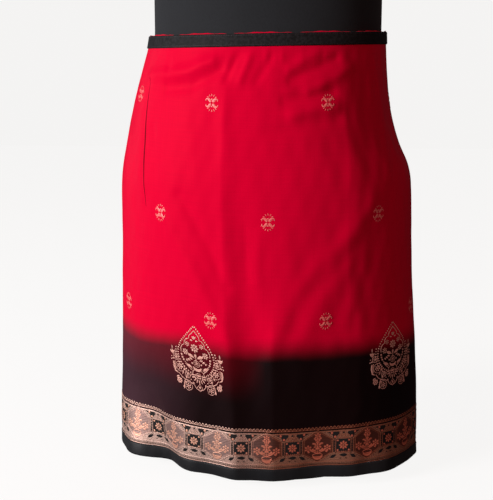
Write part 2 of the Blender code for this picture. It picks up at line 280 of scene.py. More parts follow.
@dataclass(frozen=True)
class Cloth:
    """The shape that the skirt's cloth hangs in, worked out from sections, folds and creases."""

    waist_level: float = 577.0
    waist_side_tilt: float = 2.25
    waist_front_dip: float = 2.75
    hem_level: float = 18.0
    hem_side_lift: float = 4.5
    hem_drops: tuple[Point3, ...] = ((62.0, 18.0, 3.5), (97.0, 14.0, 11.0))
    band_height: float = 15.5
    cloth_above_band: float = 0.7
    cloth_above_wave: float = 0.6
    binding_height: float = 16.0
    seam_gap: float = 0.3
    columns_per_turn: int = 100
    under_column: int = 41
    over_column: int = 160
    crowding: float = 0.25
    lap_step: float = 3.2
    lap_rise: float = 22.0
    fold_fade: float = 90.0
    crease_fade: float = 14.0
    crest_top_fade: float = 60.0
    crest_low_fade: float = 40.0
    pucker_width: float = 3.2
    pucker_reach: float = 26.0

    def column_angle(self, column: Array | float) -> Array:
        """Give the unwrapped angle of a column, with the columns closer at the front."""
        even = 2.0 * math.pi * np.asarray(column, float) / self.columns_per_turn
        return np.degrees(even - self.crowding * np.sin(even))

    def angles(self, count: int) -> Array:
        """Give a row of angles along the whole wrap."""
        return self.column_angle(np.linspace(self.under_column, self.over_column, count))

    def over_end(self) -> float:
        """Give the unwrapped angle of the wrap's over end."""
        return float(self.column_angle(self.over_column))

    def band_top(self, angle: Array) -> Array:
        """Give the level of the waistband's upper edge."""
        tilt, ahead = self.waist_side_tilt * np.sin(np.radians(angle)), np.cos(np.radians(angle))
        return self.waist_level + tilt - self.waist_front_dip * (1.0 + ahead)

    def cloth_top(self, angle: Array) -> Array:
        """Give the level of the panel's upper edge, which shows unevenly above the waistband."""
        wave = np.sin(angle * 0.21 + 1.1) + 0.5 * np.sin(angle * 0.83)
        return self.band_top(angle) + self.cloth_above_band + self.cloth_above_wave * wave

    def hem_low(self, angle: Array) -> Array:
        """Give the level of the hem binding's lower edge.

        Args:
            angle: Unwrapped angles.

        Returns:
            The levels above the floor.
        """
        level = self.hem_level - self.hem_side_lift * np.cos(2.0 * np.radians(angle))
        for centre, width, drop in self.hem_drops:
            level = level - drop * np.exp(-((half_turn(angle - centre) / width) ** 2))
        return level

    def panel_low(self, angle: Array) -> Array:
        """Give the level of the panel's lower edge."""
        return self.hem_low(angle) + self.binding_height + self.seam_gap

    def half(self, side: str, level: Array) -> Array:
        """Read one column of the section table on a smooth curve through its rows.

        Args:
            side: The column's name.
            level: Levels to read at.

        Returns:
            The half-widths there.
        """
        levels = np.array([row.level for row in SECTIONS])
        values = np.array([getattr(row, side) for row in SECTIONS])
        rows, last = np.arange(len(levels)), len(levels) - 1
        before, after = np.maximum(rows - 1, 0), np.minimum(rows + 1, last)
        slopes = (values[after] - values[before]) / (levels[after] - levels[before])
        level = np.clip(level, levels[0], levels[last])
        index = np.clip(np.searchsorted(levels, level) - 1, 0, last - 1)
        span = levels[index + 1] - levels[index]
        t = (level - levels[index]) / span
        rise = (2 * t**3 - 3 * t**2 + 1) * values[index] + (3 * t**2 - 2 * t**3) * values[index + 1]
        bend = (t**3 - 2 * t**2 + t) * slopes[index] + (t**3 - t**2) * slopes[index + 1]
        return rise + bend * span

    def fold_height(self, angle: Array, level: Array) -> Array:
        """Add up the large folds.

        Args:
            angle: Unwrapped angles.
            level: Levels above the floor.

        Returns:
            How far they move the cloth out.
        """
        total = np.zeros(np.broadcast(angle, level).shape)
        for low, high in FOLDS:
            fade = smooth_step(1.0 - (level - high.level) / self.fold_fade)
            fade = fade * smooth_step(1.0 + (level - low.level) / self.fold_fade)
            along = np.clip((level - low.level) / (high.level - low.level), 0.0, 1.0)
            centre = low.angle + along * (high.angle - low.angle)
            height = low.height + along * (high.height - low.height)
            width = low.width + along * (high.width - low.width)
            total = total + height * fade * np.exp(-((half_turn(angle - centre) / width) ** 2))
        return total

    def crease_height(self, angle: Array, level: Array) -> Array:
        """Add up the small creases, drag lines and puckers, which fade out at the waistband.

        Args:
            angle: Unwrapped angles.
            level: Levels above the floor.

        Returns:
            How far they move the cloth out.
        """
        turn = half_turn(angle)
        scale = self.arc_scale(turn, level)
        total = np.zeros(np.broadcast(angle, level).shape)
        for crease in CREASES:
            nearest = np.full(total.shape, np.inf)
            for start, end in zip(crease.path, crease.path[1:]):
                across, up = half_turn(turn - start[0]) * scale, level - start[1]
                run, rise = (end[0] - start[0]) * scale, end[1] - start[1]
                along = np.clip((across * run + up * rise) / (run**2 + rise**2), 0.0, 1.0)
                gap = np.hypot(across - along * run, up - along * rise)
                nearest = np.minimum(nearest, gap)
            if crease.crisp:
                ends = smooth_step((crease.path[0][1] - level) / self.crest_top_fade)
                ends = ends * smooth_step((level - crease.path[-1][1]) / self.crest_low_fade)
                rounded = np.sqrt(nearest**2 + 2.0) - 1.4  # A crest that is a little soft at its top.
                total += crease.height * ends * np.exp(-rounded / crease.width)
            else:
                total += crease.height * np.exp(-((nearest / crease.width) ** 2))
        below = self.band_top(angle) - self.band_height - level
        for centre, height in PUCKERS:
            gap = (turn - centre) * scale
            fade = smooth_step(1.0 - (below - 2.0) / self.pucker_reach)
            total += height * np.exp(-((gap / self.pucker_width) ** 2)) * fade
        # Slow ripples that keep the large plain stretches from looking machined.
        total += 0.28 * np.sin(turn * 0.31 + level * 0.017) * np.sin(level * 0.043 + turn * 0.08)
        total += 0.16 * np.sin(turn * 0.83 - level * 0.031) * np.sin(level * 0.087 + 1.3)
        return total * smooth_step(below / self.crease_fade)

    def arc_scale(self, angle: Array, level: Array) -> Array:
        """Give how many millimetres of cloth a degree covers.

        Args:
            angle: Unwrapped angles.
            level: Levels above the floor.

        Returns:
            Millimetres a degree at each place.
        """
        across, along = np.sin(np.radians(angle)), np.cos(np.radians(angle))
        wide = np.where(across > 0, self.half("right", level), self.half("left", level))
        deep = np.where(along < 0, self.half("back", level), self.half("front", level))
        return np.hypot(wide * along, deep * across) * math.pi / 180.0

    def outline(self, angle: Array, level: Array) -> tuple[Array, Array]:
        """Give the outer face in plan, folds, creases and lap included.

        Args:
            angle: Unwrapped angles.
            level: Levels above the floor.

        Returns:
            The x and y of each place.
        """
        across, along = np.sin(np.radians(angle)), -np.cos(np.radians(angle))
        wide = np.where(across > 0, self.half("right", level), self.half("left", level))
        deep = np.where(along > 0, self.half("back", level), self.half("front", level))
        length = np.hypot(across / wide, along / deep)
        lap = self.lap_step * (1.0 - smooth_step((angle - self.over_end() + 360.0) / self.lap_rise))
        out = self.fold_height(angle, level) + self.crease_height(angle, level) - lap
        return wide * across + out * across / wide / length, deep * along + out * along / deep / length

    def place(self, angle: Array, level: Array, out: Array | float = 0.0) -> Array:
        """Give points that stand out from the outer face, square to it in plan.

        Args:
            angle: Unwrapped angles.
            level: Levels above the floor.
            out: How far the points stand out, in millimetres.

        Returns:
            The points in metres, with x, y and z along the last axis.
        """
        step = 0.4
        x_before, y_before = self.outline(angle - step, level)
        x_after, y_after = self.outline(angle + step, level)
        length = np.hypot(x_after - x_before, y_after - y_before)
        x, y = self.outline(angle, level)
        x = x + out * (y_after - y_before) / length
        y = y - out * (x_after - x_before) / length
        return np.stack(np.broadcast_arrays(x, y, level), axis=-1) * MM


def grid_faces(columns: int, rows: int, first: int = 0, flip: bool = False,
               closed: bool = False) -> list[tuple[int, ...]]:
    """List the quads of a grid of points stored column by column.

    Args:
        columns: Points along the first direction.
        rows: Points along the second direction.
        first: Index of the grid's first point.
        flip: Turn the faces round.
        closed: Join the last row of each column to its first.

    Returns:
        The faces as index tuples.
    """
    faces = []
    for column in range(columns - 1):
        for row in range(rows if closed else rows - 1):
            after = (row + 1) % rows
            a, b = first + column * rows + row, first + (column + 1) * rows + row
            c, d = first + (column + 1) * rows + after, first + column * rows + after
            faces.append((a, d, c, b) if flip else (a, b, c, d))
    return faces


def put_in_scene(name: str, data: ID) -> Object:
    """Make an object from a mesh, light or camera, linked to the scene.

    Args:
        name: The object's name.
        data: What it shows.

    Returns:
        The object.
    """
    made = bpy.data.objects.new(name, data)
    bpy.context.scene.collection.objects.link(made)
    return made


def make_object(name: str, points: Array | Sequence, faces: Sequence,
                uv: Array | None = None) -> Object:
    """Make a smooth-shaded mesh object, with a cloth UV map where it has one.

    Args:
        name: The object's name.
        points: Points in metres.
        faces: Faces as index tuples.
        uv: Places on the flat cloth for each point, in metres.

    Returns:
        The new object, linked to the scene.
    """
    mesh = bpy.data.meshes.new(name)
    mesh.from_pydata([tuple(point) for point in points], [], list(faces))
    if uv is not None:
        layer = mesh.uv_layers.new(name="cloth_uv")
        corners = np.empty(len(mesh.loops), dtype=np.int32)
        mesh.loops.foreach_get("vertex_index", corners)
        layer.data.foreach_set("uv", np.asarray(uv, dtype=np.float32)[corners].ravel())
    mesh.shade_smooth()
    return put_in_scene(name, mesh)


def outward_normals(points: Array) -> Array:
    """Give the outward directions of a grid of points stored column by column."""
    normals = np.cross(np.gradient(points, axis=0), np.gradient(points, axis=1))
    return normals / np.linalg.norm(normals, axis=2, keepdims=True)


def make_sheet(name: str, points: Array, flat: Array) -> Object:
    """Make a single sheet for drawings to lie on, with its flat map and outward directions.

    Args:
        name: The object's name.
        points: A grid of points in metres.
        flat: The place of each point on the flat cloth, in metres.

    Returns:
        The sheet, which is removed once its drawings are laid.
    """
    made = make_object(name, points.reshape(-1, 3), grid_faces(*points.shape[:2]), flat.reshape(-1, 2))
    attribute = made.data.attributes.new("cloth_normal", "FLOAT_VECTOR", "POINT")
    attribute.data.foreach_set("vector", outward_normals(points).reshape(-1).astype(np.float32))
    return made


def dress(piece: Object, material: Material) -> Object:
    """Give a piece its material, and let it ride on the object.

    Args:
        piece: The finished piece.
        material: Its material.

    Returns:
        The same piece.
    """
    piece.data.materials.clear()
    piece.data.materials.append(material)
    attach(piece, "root")
    log.info("%s: %d faces", piece.name, len(piece.data.polygons))
    return piece


@dataclass(frozen=True)
class Finish:
    """A material with a Principled shader and one shared start."""

    name: str

    def start(self, roughness: float, metallic: float = 0.0, **constants: Any) -> Made:
        """Make the material and its shader.

        Args:
            roughness: The shader's roughness.
            metallic: The shader's metallic value.
            constants: Other shader inputs by name, with underscores for spaces.

        Returns:
            The material, its tree and its shader node.
        """
        material = bpy.data.materials.new(self.name)
        material.use_nodes = True
        tree = material.node_tree
        shader = tree.nodes["Principled BSDF"]
        shader.inputs["Roughness"].default_value = roughness
        shader.inputs["Metallic"].default_value = metallic
        for key, value in constants.items():
            shader.inputs[key.replace("_", " ")].default_value = value
        return material, tree, shader


@dataclass(frozen=True)
class SilkFinish(Finish):
    """Plain-woven art silk, dip-dyed red to black and woven with copper zari along the border.

    The close twisted yarn gives a soft glow with no sharp shine, and the dye bleeds unevenly.
    Yarns are 0.3 mm apart, which is too fine to show, so slubs are drawn 1 to 2 mm apart. Spans
    are places on the flat cloth, from the centre front, and levels are from its lower edge.
    """

    red: str = "#F00036"
    black: str = "#110808"
    # Painted sheen: the black is painted this lighter purplish colour towards the left, the side that faces
    # the window.
    painted_sheen_black: str = "#442C34"
    zari: str = "#FFDCCC"
    # Painted shade: the border's woven zari turns to this darker colour towards the right, away from the
    # window.
    painted_shade_zari: str = "#D89A7E"
    shade: str = "#4E2A20"
    dye_level: float = 155.0
    dye_spread: float = 18.0
    dye_slant: float = 1.5
    dye_wander: float = 16.0
    slant_span: Point2 = (-280.0, 0.0)
    tail_depth: float = 70.0
    tail_share: float = 0.13
    tail_span: Point2 = (-30.0, 10.0)
    # Where the painted sheen on the black and the painted shade on the zari fade in.
    painted_sheen_span: Point2 = (-80.0, -200.0)
    painted_shade_span: Point2 = (-50.0, 25.0)
    border_height: float = 47.6
    cells_per_metre: float = 760.0

    def build(self) -> Material:
        """Make the material.

        Returns:
            The silk.
        """
        material, tree, shader = self.start(0.5, Specular_IOR_Level=0.2, Sheen_Weight=0.04,
                                            Sheen_Roughness=0.45, Sheen_Tint=linear("#FF2040"))
        add = partial(add_node, tree)
        uv = add("ShaderNodeUVMap", uv_map="cloth_uv").outputs["UV"]
        across, height, _ = add("ShaderNodeSeparateXYZ", {0: uv}).outputs
        bleed, slub, warp = (self.grain(tree, uv, scale, detail) for scale, detail in (
            ((9.0, 9.0, 1.0), 3.0), ((16.0, 620.0, 1.0), 3.0), ((700.0, 12.0, 1.0), 2.0)))
        dyed = self.dye(tree, across, height, bleed)
        # Two masks of painted light: sheen on the black towards the left, shade on the border's zari towards
        # the right.
        wear_and_painted_sheen, painted_shade_share = (add("ShaderNodeMapRange", {
            "Value": across, "From Min": low * MM, "From Max": high * MM,
        }).outputs[0] for low, high in (self.painted_sheen_span, self.painted_shade_span))
        tone = add("ShaderNodeMath", {0: warp, 1: 0.07}, operation="MULTIPLY").outputs[0]
        tone = add("ShaderNodeMath", {0: slub, 1: 0.09, 2: tone}, operation="MULTIPLY_ADD").outputs[0]
        speckle = add("ShaderNodeTexVoronoi", {
            "Vector": uv, "Scale": self.cells_per_metre, "Randomness": 0.35,
        }, voronoi_dimensions="2D").outputs["Distance"]
        speckled = add("ShaderNodeMapRange", {
            "Value": speckle, "From Min": 0.3, "From Max": 0.62}).outputs[0]
        mixed = []
        for base, layers in (
            (self.black, ((wear_and_painted_sheen, self.painted_sheen_black), (dyed, self.red), (tone, "#000000"))),
            (self.zari, ((painted_shade_share, self.painted_shade_zari), (speckled, self.shade))),
            ("#D8A8B2", ((dyed, "#FF0030"),)),
        ):
            colour = linear(base)
            for share, code in layers:
                inputs = {0: share, 6: colour, 7: linear(code)}
                colour = add("ShaderNodeMix", inputs, data_type="RGBA").outputs[2]
            mixed.append(colour)
        ground, woven, glance = mixed
        in_border = add("ShaderNodeMath", {0: height, 1: self.border_height * MM},
                        operation="LESS_THAN").outputs[0]
        colour = add("ShaderNodeMix", {0: in_border, 6: ground, 7: woven}, data_type="RGBA").outputs[2]
        metal = add("ShaderNodeMath", {0: in_border, 1: 0.75}, operation="MULTIPLY").outputs[0]
        rough = add("ShaderNodeMath", {0: in_border, 1: 0.1, 2: 0.5}, operation="MULTIPLY_ADD").outputs[0]
        relief = 0.0
        for part, weight in ((slub, 0.6), (warp, 0.4), (speckle, in_border)):
            inputs = {0: part, 1: weight, 2: relief}
            relief = add("ShaderNodeMath", inputs, operation="MULTIPLY_ADD").outputs[0]
        bump = add("ShaderNodeBump", {"Height": relief, "Strength": 0.2, "Distance": 0.0004}).outputs[0]
        for name, value in (("Base Color", colour), ("Specular Tint", glance), ("Metallic", metal),
                            ("Roughness", rough), ("Normal", bump)):
            tree.links.new(value, shader.inputs[name])
        return material

    @staticmethod
    def grain(tree: NodeTree, uv: NodeSocket, scale: Point3, detail: float) -> NodeSocket:
        """Draw a noise over the flat cloth with its own scale each way.

        Args:
            tree: The material's tree.
            uv: The place on the flat cloth.
            scale: Repeats per metre along the cloth and up it.
            detail: How much fine detail it has.

        Returns:
            The noise, from 0 to 1.
        """
        mapped = add_node(tree, "ShaderNodeVectorMath", {0: uv, 1: scale}, operation="MULTIPLY").outputs[0]
        return add_node(tree, "ShaderNodeTexNoise", {"Vector": mapped, "Scale": 1.0, "Detail": detail},
                        noise_dimensions="2D").outputs["Fac"]

    def dye(self, tree: NodeTree, across: NodeSocket, height: NodeSocket, bleed: NodeSocket) -> NodeSocket:
        """Work out how red the cloth is: a soft, slanted, uneven dip line with a faint tail below it.

        Args:
            tree: The material's tree.
            across: The place along the flat cloth.
            height: The place up the flat cloth.
            bleed: The noise that the dye line wanders by.

        Returns:
            The share of red, from 0 to 1.
        """
        add = partial(add_node, tree)
        slant, front = (add("ShaderNodeMapRange", {
            "Value": across, "From Min": low * MM, "From Max": high * MM, "To Min": most, "To Max": 0.0,
        }).outputs[0] for (low, high), most in (
            (self.slant_span, -self.dye_slant * MM), (self.tail_span, self.tail_share)))
        level = add("ShaderNodeMath", {0: height, 1: slant}, operation="ADD").outputs[0]
        wander = add("ShaderNodeMath", {0: bleed, 1: 0.5}, operation="SUBTRACT").outputs[0]
        inputs = {0: wander, 1: self.dye_wander * MM, 2: level}
        dipped = add("ShaderNodeMath", inputs, operation="MULTIPLY_ADD").outputs[0]
        line, tail = (add("ShaderNodeMapRange", {
            "Value": dipped, "From Min": (self.dye_level - below) * MM,
            "From Max": (self.dye_level + above) * MM, "To Max": most,
        }, interpolation_type="SMOOTHSTEP").outputs[0] for below, above, most in (
            (self.dye_spread, self.dye_spread, 1.0), (self.tail_depth, 0.0, front)))
        return add("ShaderNodeMath", {0: line, 1: tail}, operation="MAXIMUM").outputs[0]


@dataclass(frozen=True)
class ThreadFinish(Finish):
    """Yarn laid side by side: flat copper zari round a silk core, or plain silk.

    Zari's metal strip gives a warm broken glint, and it takes on the red of dyed cloth above the
    dip line. Floats of yarn are 0.3 mm wide and are drawn 1.1 mm wide.
    """

    light: str = "#E2B29C"
    dark: str = "#B08070"
    metallic: float = 0.5
    roughness: float = 0.5
    dyed: str = ""
    # An optional colour of painted shade, laid over the thread more and more towards the right of the front,
    # away from the window.
    dull: str = ""
    pitch: float = 1.1
    dye_from: float = 130.0
    dye_to: float = 185.0
    painted_shade_from: float = -50.0
    painted_shade_to: float = 25.0

    def build(self) -> Material:
        """Make the material.

        Returns:
            The yarn.
        """
        material, tree, shader = self.start(self.roughness, self.metallic)
        add = partial(add_node, tree)
        uv = add("ShaderNodeUVMap", uv_map="cloth_uv").outputs["UV"]
        lines = add("ShaderNodeTexWave", {
            "Vector": uv, "Scale": WAVE_LINE / (self.pitch * MM), "Distortion": 1.2, "Detail": 1.0,
        }, bands_direction="Y").outputs["Fac"]
        colour = add("ShaderNodeMix", {
            0: lines, 6: linear(self.dark), 7: linear(self.light)}, data_type="RGBA").outputs[2]
        place = add("ShaderNodeSeparateXYZ", {0: uv})
        # The first tint is dye; the second is painted shade, darker towards the right.
        for code, axis, low, high in (
            (self.dyed, "Y", self.dye_from, self.dye_to),
            (self.dull, "X", self.painted_shade_from, self.painted_shade_to),
        ):
            if code:
                share = add("ShaderNodeMapRange", {
                    "Value": place.outputs[axis], "From Min": low * MM, "From Max": high * MM}).outputs[0]
                colour = add("ShaderNodeMix", {0: share, 6: colour, 7: add("ShaderNodeMix", {
                    0: 1.0, 6: colour, 7: linear(code)}, data_type="RGBA", blend_type="MULTIPLY").outputs[2],
                }, data_type="RGBA").outputs[2]
        tree.links.new(colour, shader.inputs["Base Color"])
        bump = add("ShaderNodeBump", {"Height": lines, "Strength": 0.4, "Distance": 0.0002})
        tree.links.new(bump.outputs[0], shader.inputs["Normal"])
        return material


@dataclass(frozen=True)
class FabricFinish(Finish):
    """Plain black cloth: woven cotton or silk strip, or knitted jersey, by its grain.

    The yarns catch a little grey light and the surface has no shine of its own.
    """

    colour: str = "#161518"
    glow: str = "#2A292D"
    grain: float = 1.4
    roughness: float = 0.75
    depth: float = 0.25
    stretch: Point3 = (1.0, 1.0, 1.0)
    sheen: float = 0.12
    spread: float = 0.5

    def build(self) -> Material:
        """Make the material.

        Returns:
            The cloth.
        """
        material, tree, shader = self.start(self.roughness, Specular_IOR_Level=0.3, Sheen_Weight=self.sheen)
        add = partial(add_node, tree)
        place = add("ShaderNodeTexCoord").outputs["Object"]
        mapped = add("ShaderNodeMapping", {"Vector": place, "Scale": self.stretch}).outputs[0]
        yarn = add("ShaderNodeTexNoise", {
            "Vector": mapped, "Scale": 1.0 / (self.grain * MM), "Detail": 3.0,
        }).outputs["Fac"]
        cloud = add("ShaderNodeTexNoise", {"Vector": place, "Scale": 14.0, "Detail": 2.0}).outputs["Fac"]
        wear_and_painted_sheen = add("ShaderNodeMapRange", {
            "Value": yarn, "From Min": 0.5 - self.spread, "From Max": 0.5 + self.spread,
        }).outputs[0]
        share = add("ShaderNodeMath", {0: wear_and_painted_sheen, 1: cloud}, operation="MULTIPLY").outputs[0]
        inputs = {0: share, 6: linear(self.colour), 7: linear(self.glow)}
        colour = add("ShaderNodeMix", inputs, data_type="RGBA").outputs[2]
        tree.links.new(colour, shader.inputs["Base Color"])
        bump = add("ShaderNodeBump", {"Height": yarn, "Strength": self.depth, "Distance": 0.0005})
        tree.links.new(bump.outputs[0], shader.inputs["Normal"])
        return material


@dataclass(frozen=True)
class HardFinish(Finish):
    """Powder-coated steel or polished resin: a smooth coat with a fine orange-peel ripple."""

    colour: str = "#1A1A1C"
    pale: str = "#242427"
    roughness: float = 0.42
    ripple: float = 1.6

    def build(self) -> Material:
        """Make the material.

        Returns:
            The coat or resin.
        """
        material, tree, shader = self.start(self.roughness)
        add = partial(add_node, tree)
        place = add("ShaderNodeTexCoord").outputs["Object"]
        peel = add("ShaderNodeTexNoise", {"Vector": place, "Scale": 1.0 / (self.ripple * MM)}).outputs["Fac"]
        tint = add("ShaderNodeMix", {0: peel, 6: linear(self.colour), 7: linear(self.pale)}, data_type="RGBA")
        tree.links.new(tint.outputs[2], shader.inputs["Base Color"])
        bump = add("ShaderNodeBump", {"Height": peel, "Strength": 0.08, "Distance": 0.0003})
        tree.links.new(bump.outputs[0], shader.inputs["Normal"])
        return material


@dataclass(frozen=True)
class PaperFinish(Finish):
    """Pale seamless paper, lit evenly, which throws little light back onto the cloth."""

    colour: str = "#FBFAF9"
    glow: float = 0.94

    def build(self) -> Material:
        """Make the material.

        Returns:
            The paper, which the camera sees brighter than the cloth does.
        """
        material, tree, shader = self.start(0.9, Specular_IOR_Level=0.1, Base_Color=linear("#646464"))
        add = partial(add_node, tree)
        bright = add("ShaderNodeEmission", {"Color": linear(self.colour), "Strength": self.glow})
        both = add("ShaderNodeAddShader", {0: shader.outputs[0], 1: bright.outputs[0]})
        seen = add("ShaderNodeLightPath").outputs["Is Camera Ray"]
        mixed = add("ShaderNodeMixShader", {0: seen, 1: shader.outputs[0], 2: both.outputs[0]})
        tree.links.new(mixed.outputs[0], tree.nodes["Material Output"].inputs["Surface"])
        return material


class Drawing:
    """A flat figure of raised thread, drawn in millimetres, with its edges down on the cloth."""

    def __init__(self, rise: float = 0.22) -> None:
        """Start an empty drawing.

        Args:
            rise: How far its threads stand up, in millimetres.
        """
        self.rise = rise
        self.points: list[Point3] = []
        self.faces: list[tuple[int, ...]] = []

    def shape(self, outline: Sequence[Point2]) -> None:
        """Fill an outline with a low dome.

        Args:
            outline: The outline, anticlockwise.
        """
        first = len(self.points)
        centre = np.mean(np.array(outline), axis=0)
        self.points += [(x, y, 0.0) for x, y in outline]
        self.points.append((float(centre[0]), float(centre[1]), self.rise))
        count = len(outline)
        self.faces += [(first + i, first + (i + 1) % count, first + count) for i in range(count)]

    def plate(self, outline: Sequence[Point2], level: float | None = None) -> None:
        """Fill an outline flat.

        Args:
            outline: The outline, either way round.
            level: How high it stands, in millimetres, or None for the drawing's own rise.
        """
        first = len(self.points)
        self.points += [(x, y, self.rise if level is None else level) for x, y in outline]
        for a, b, c in tessellate_polygon([[Vector((x, y, 0.0)) for x, y in outline]]):
            (ax, ay), (bx, by), (cx, cy) = outline[a], outline[b], outline[c]
            upward = (bx - ax) * (cy - ay) - (by - ay) * (cx - ax) > 0.0
            self.faces.append((first + a, *((first + b, first + c) if upward else (first + c, first + b))))

    def stroke(self, path: Sequence[Point2], width: float | Sequence[float], closed: bool = False) -> None:
        """Draw a line of thread with a raised middle.

        Args:
            path: Points along the line.
            width: The line's width, or its width at each point.
            closed: Join its end to its start.
        """
        line = np.array(path, float)
        count = len(line)
        before = np.roll(line, 1, axis=0) if closed else np.vstack([line[:1], line[:-1]])
        after = np.roll(line, -1, axis=0) if closed else np.vstack([line[1:], line[-1:]])
        into, away = line - before, after - line
        into /= np.maximum(np.linalg.norm(into, axis=1, keepdims=True), 1e-9)
        away /= np.maximum(np.linalg.norm(away, axis=1, keepdims=True), 1e-9)
        along = into + away
        along /= np.maximum(np.linalg.norm(along, axis=1, keepdims=True), 1e-9)
        side = np.stack([-along[:, 1], along[:, 0]], axis=1) * np.broadcast_to(width, count)[:, None] / 2.0
        first = len(self.points)
        for index in range(count):
            for shift, height in ((1.0, 0.0), (0.0, self.rise), (-1.0, 0.0)):
                x, y = line[index] + side[index] * shift
                self.points.append((float(x), float(y), height))
        for index in range(count if closed else count - 1):
            a, b = first + 3 * index, first + 3 * ((index + 1) % count)
            self.faces += [(a + 1, b + 1, b, a), (a + 2, b + 2, b + 1, a + 1)]

    def add(self, other: Drawing, at: Point2 = (0.0, 0.0), scale: float = 1.0, mirror: bool = False) -> None:
        """Put a copy of another drawing into this one.

        Args:
            other: The drawing to copy.
            at: Where its origin goes.
            scale: Its size share.
            mirror: Flip it left to right first.
        """
        first = len(self.points)
        wide = -scale if mirror else scale
        self.points += [(at[0] + x * wide, at[1] + y * scale, z) for x, y, z in other.points]
        for face in other.faces:
            moved = tuple(first + index for index in face)
            self.faces.append(moved[::-1] if mirror else moved)

    def to_object(self, name: str, cell: float = 3.0) -> Object:
        """Make a mesh in metres, cut into small cells so that it can follow folded cloth.

        Args:
            name: The object's name.
            cell: Largest cell, in millimetres.

        Returns:
            The new object, which is only a pattern for the repeats.
        """
        builder = bmesh.new()
        made = [builder.verts.new(Vector(point) * MM) for point in self.points]
        for face in self.faces:
            corners = [made[index] for index in face]
            if len(set(corners)) == len(corners):
                builder.faces.new(corners)
        spots = np.array(self.points)
        for axis in (0, 1):
            low, high = spots[:, axis].min(), spots[:, axis].max()
            normal = Vector((1, 0, 0)) if axis == 0 else Vector((0, 1, 0))
            for cut in np.arange(math.floor(low / cell) * cell + cell, high, cell):
                geometry = builder.verts[:] + builder.edges[:] + builder.faces[:]
                bmesh.ops.bisect_plane(builder, geom=geometry, dist=1e-7, plane_co=normal * cut * MM,
                                       plane_no=normal)
        mesh = bpy.data.meshes.new(name)
        builder.to_mesh(mesh)
        builder.free()
        return put_in_scene(name, mesh)


def circle(x: float, y: float, radius: float, count: int = 8) -> list[Point2]:
    """Give the points of a circle."""
    turns = [2.0 * math.pi * i / count for i in range(count)]
    return [(x + radius * math.cos(t), y + radius * math.sin(t)) for t in turns]


def petal(x: float, y: float, turn: float, length: float, width: float, curl: float = 0.0,
          count: int = 5) -> list[Point2]:
    """Give a petal's outline from its base, fullest past the middle, bent along an arc.

    Args:
        x: Base, across.
        y: Base, up.
        turn: Which way it points, in degrees from +X.
        length: Its length.
        width: Its greatest width.
        curl: How far its tip bends round, in degrees.
        count: Points along each side.

    Returns:
        The outline, anticlockwise.
    """
    sides: tuple[list[Point2], list[Point2]] = ([], [])
    for step in range(count + 1):
        along = step / count
        bend = math.radians(turn + curl * along / 2.0)
        spine = (x + length * along * math.cos(bend), y + length * along * math.sin(bend))
        half = 0.5 * width * math.sin(math.pi * along**1.25) ** 0.8 if 0 < step < count else 0.0
        tip = bend + math.radians(curl * along / 2.0)
        for side, out in zip(sides, (-half, half)):
            side.append((spine[0] - math.sin(tip) * out, spine[1] + math.cos(tip) * out))
    return sides[0] + sides[1][-2:0:-1]


def rectangle(x: float, y: float, half_width: float, half_height: float) -> list[Point2]:
    """Give a rectangle's corners about its middle, anticlockwise."""
    return [(x + a * half_width, y + b * half_height) for a, b in ((-1, -1), (1, -1), (1, 1), (-1, 1))]


def arc(x: float, y: float, radius: float, start: float, end: float, count: int) -> list[Point2]:
    """Give the points of an arc between two angles in degrees."""
    turns = [math.radians(start + (end - start) * i / (count - 1)) for i in range(count)]
    return [(x + radius * math.cos(t), y + radius * math.sin(t)) for t in turns]


def daisy(petals: int, radius: float, heart: float, spread: float = 0.9) -> Drawing:
    """Draw a round flower of equal petals about a heart.

    Args:
        petals: How many petals.
        radius: The flower's radius.
        heart: The heart's radius.
        spread: How much of the round the petals fill.

    Returns:
        The drawing.
    """
    flower = Drawing()
    for index in range(petals):
        turn = 360.0 * index / petals + 90.0
        base = heart * 1.15
        x, y = base * math.cos(math.radians(turn)), base * math.sin(math.radians(turn))
        width = spread * 2.0 * math.pi * radius * 0.75 / petals
        flower.shape(petal(x, y, turn, radius - base, width))
    flower.shape(circle(0.0, 0.0, heart, 8))
    return flower


def rosette(petals: int, radius: float, heart: float) -> Drawing:
    """Draw a flower inside a ring of thread.

    Args:
        petals: How many petals.
        radius: The ring's radius.
        heart: What the heart's radius would be without a ring.

    Returns:
        The drawing.
    """
    flower = daisy(petals, radius * 0.72, heart * 0.8, 0.5)
    flower.stroke(circle(0.0, 0.0, radius, 18), 0.6, closed=True)
    return flower


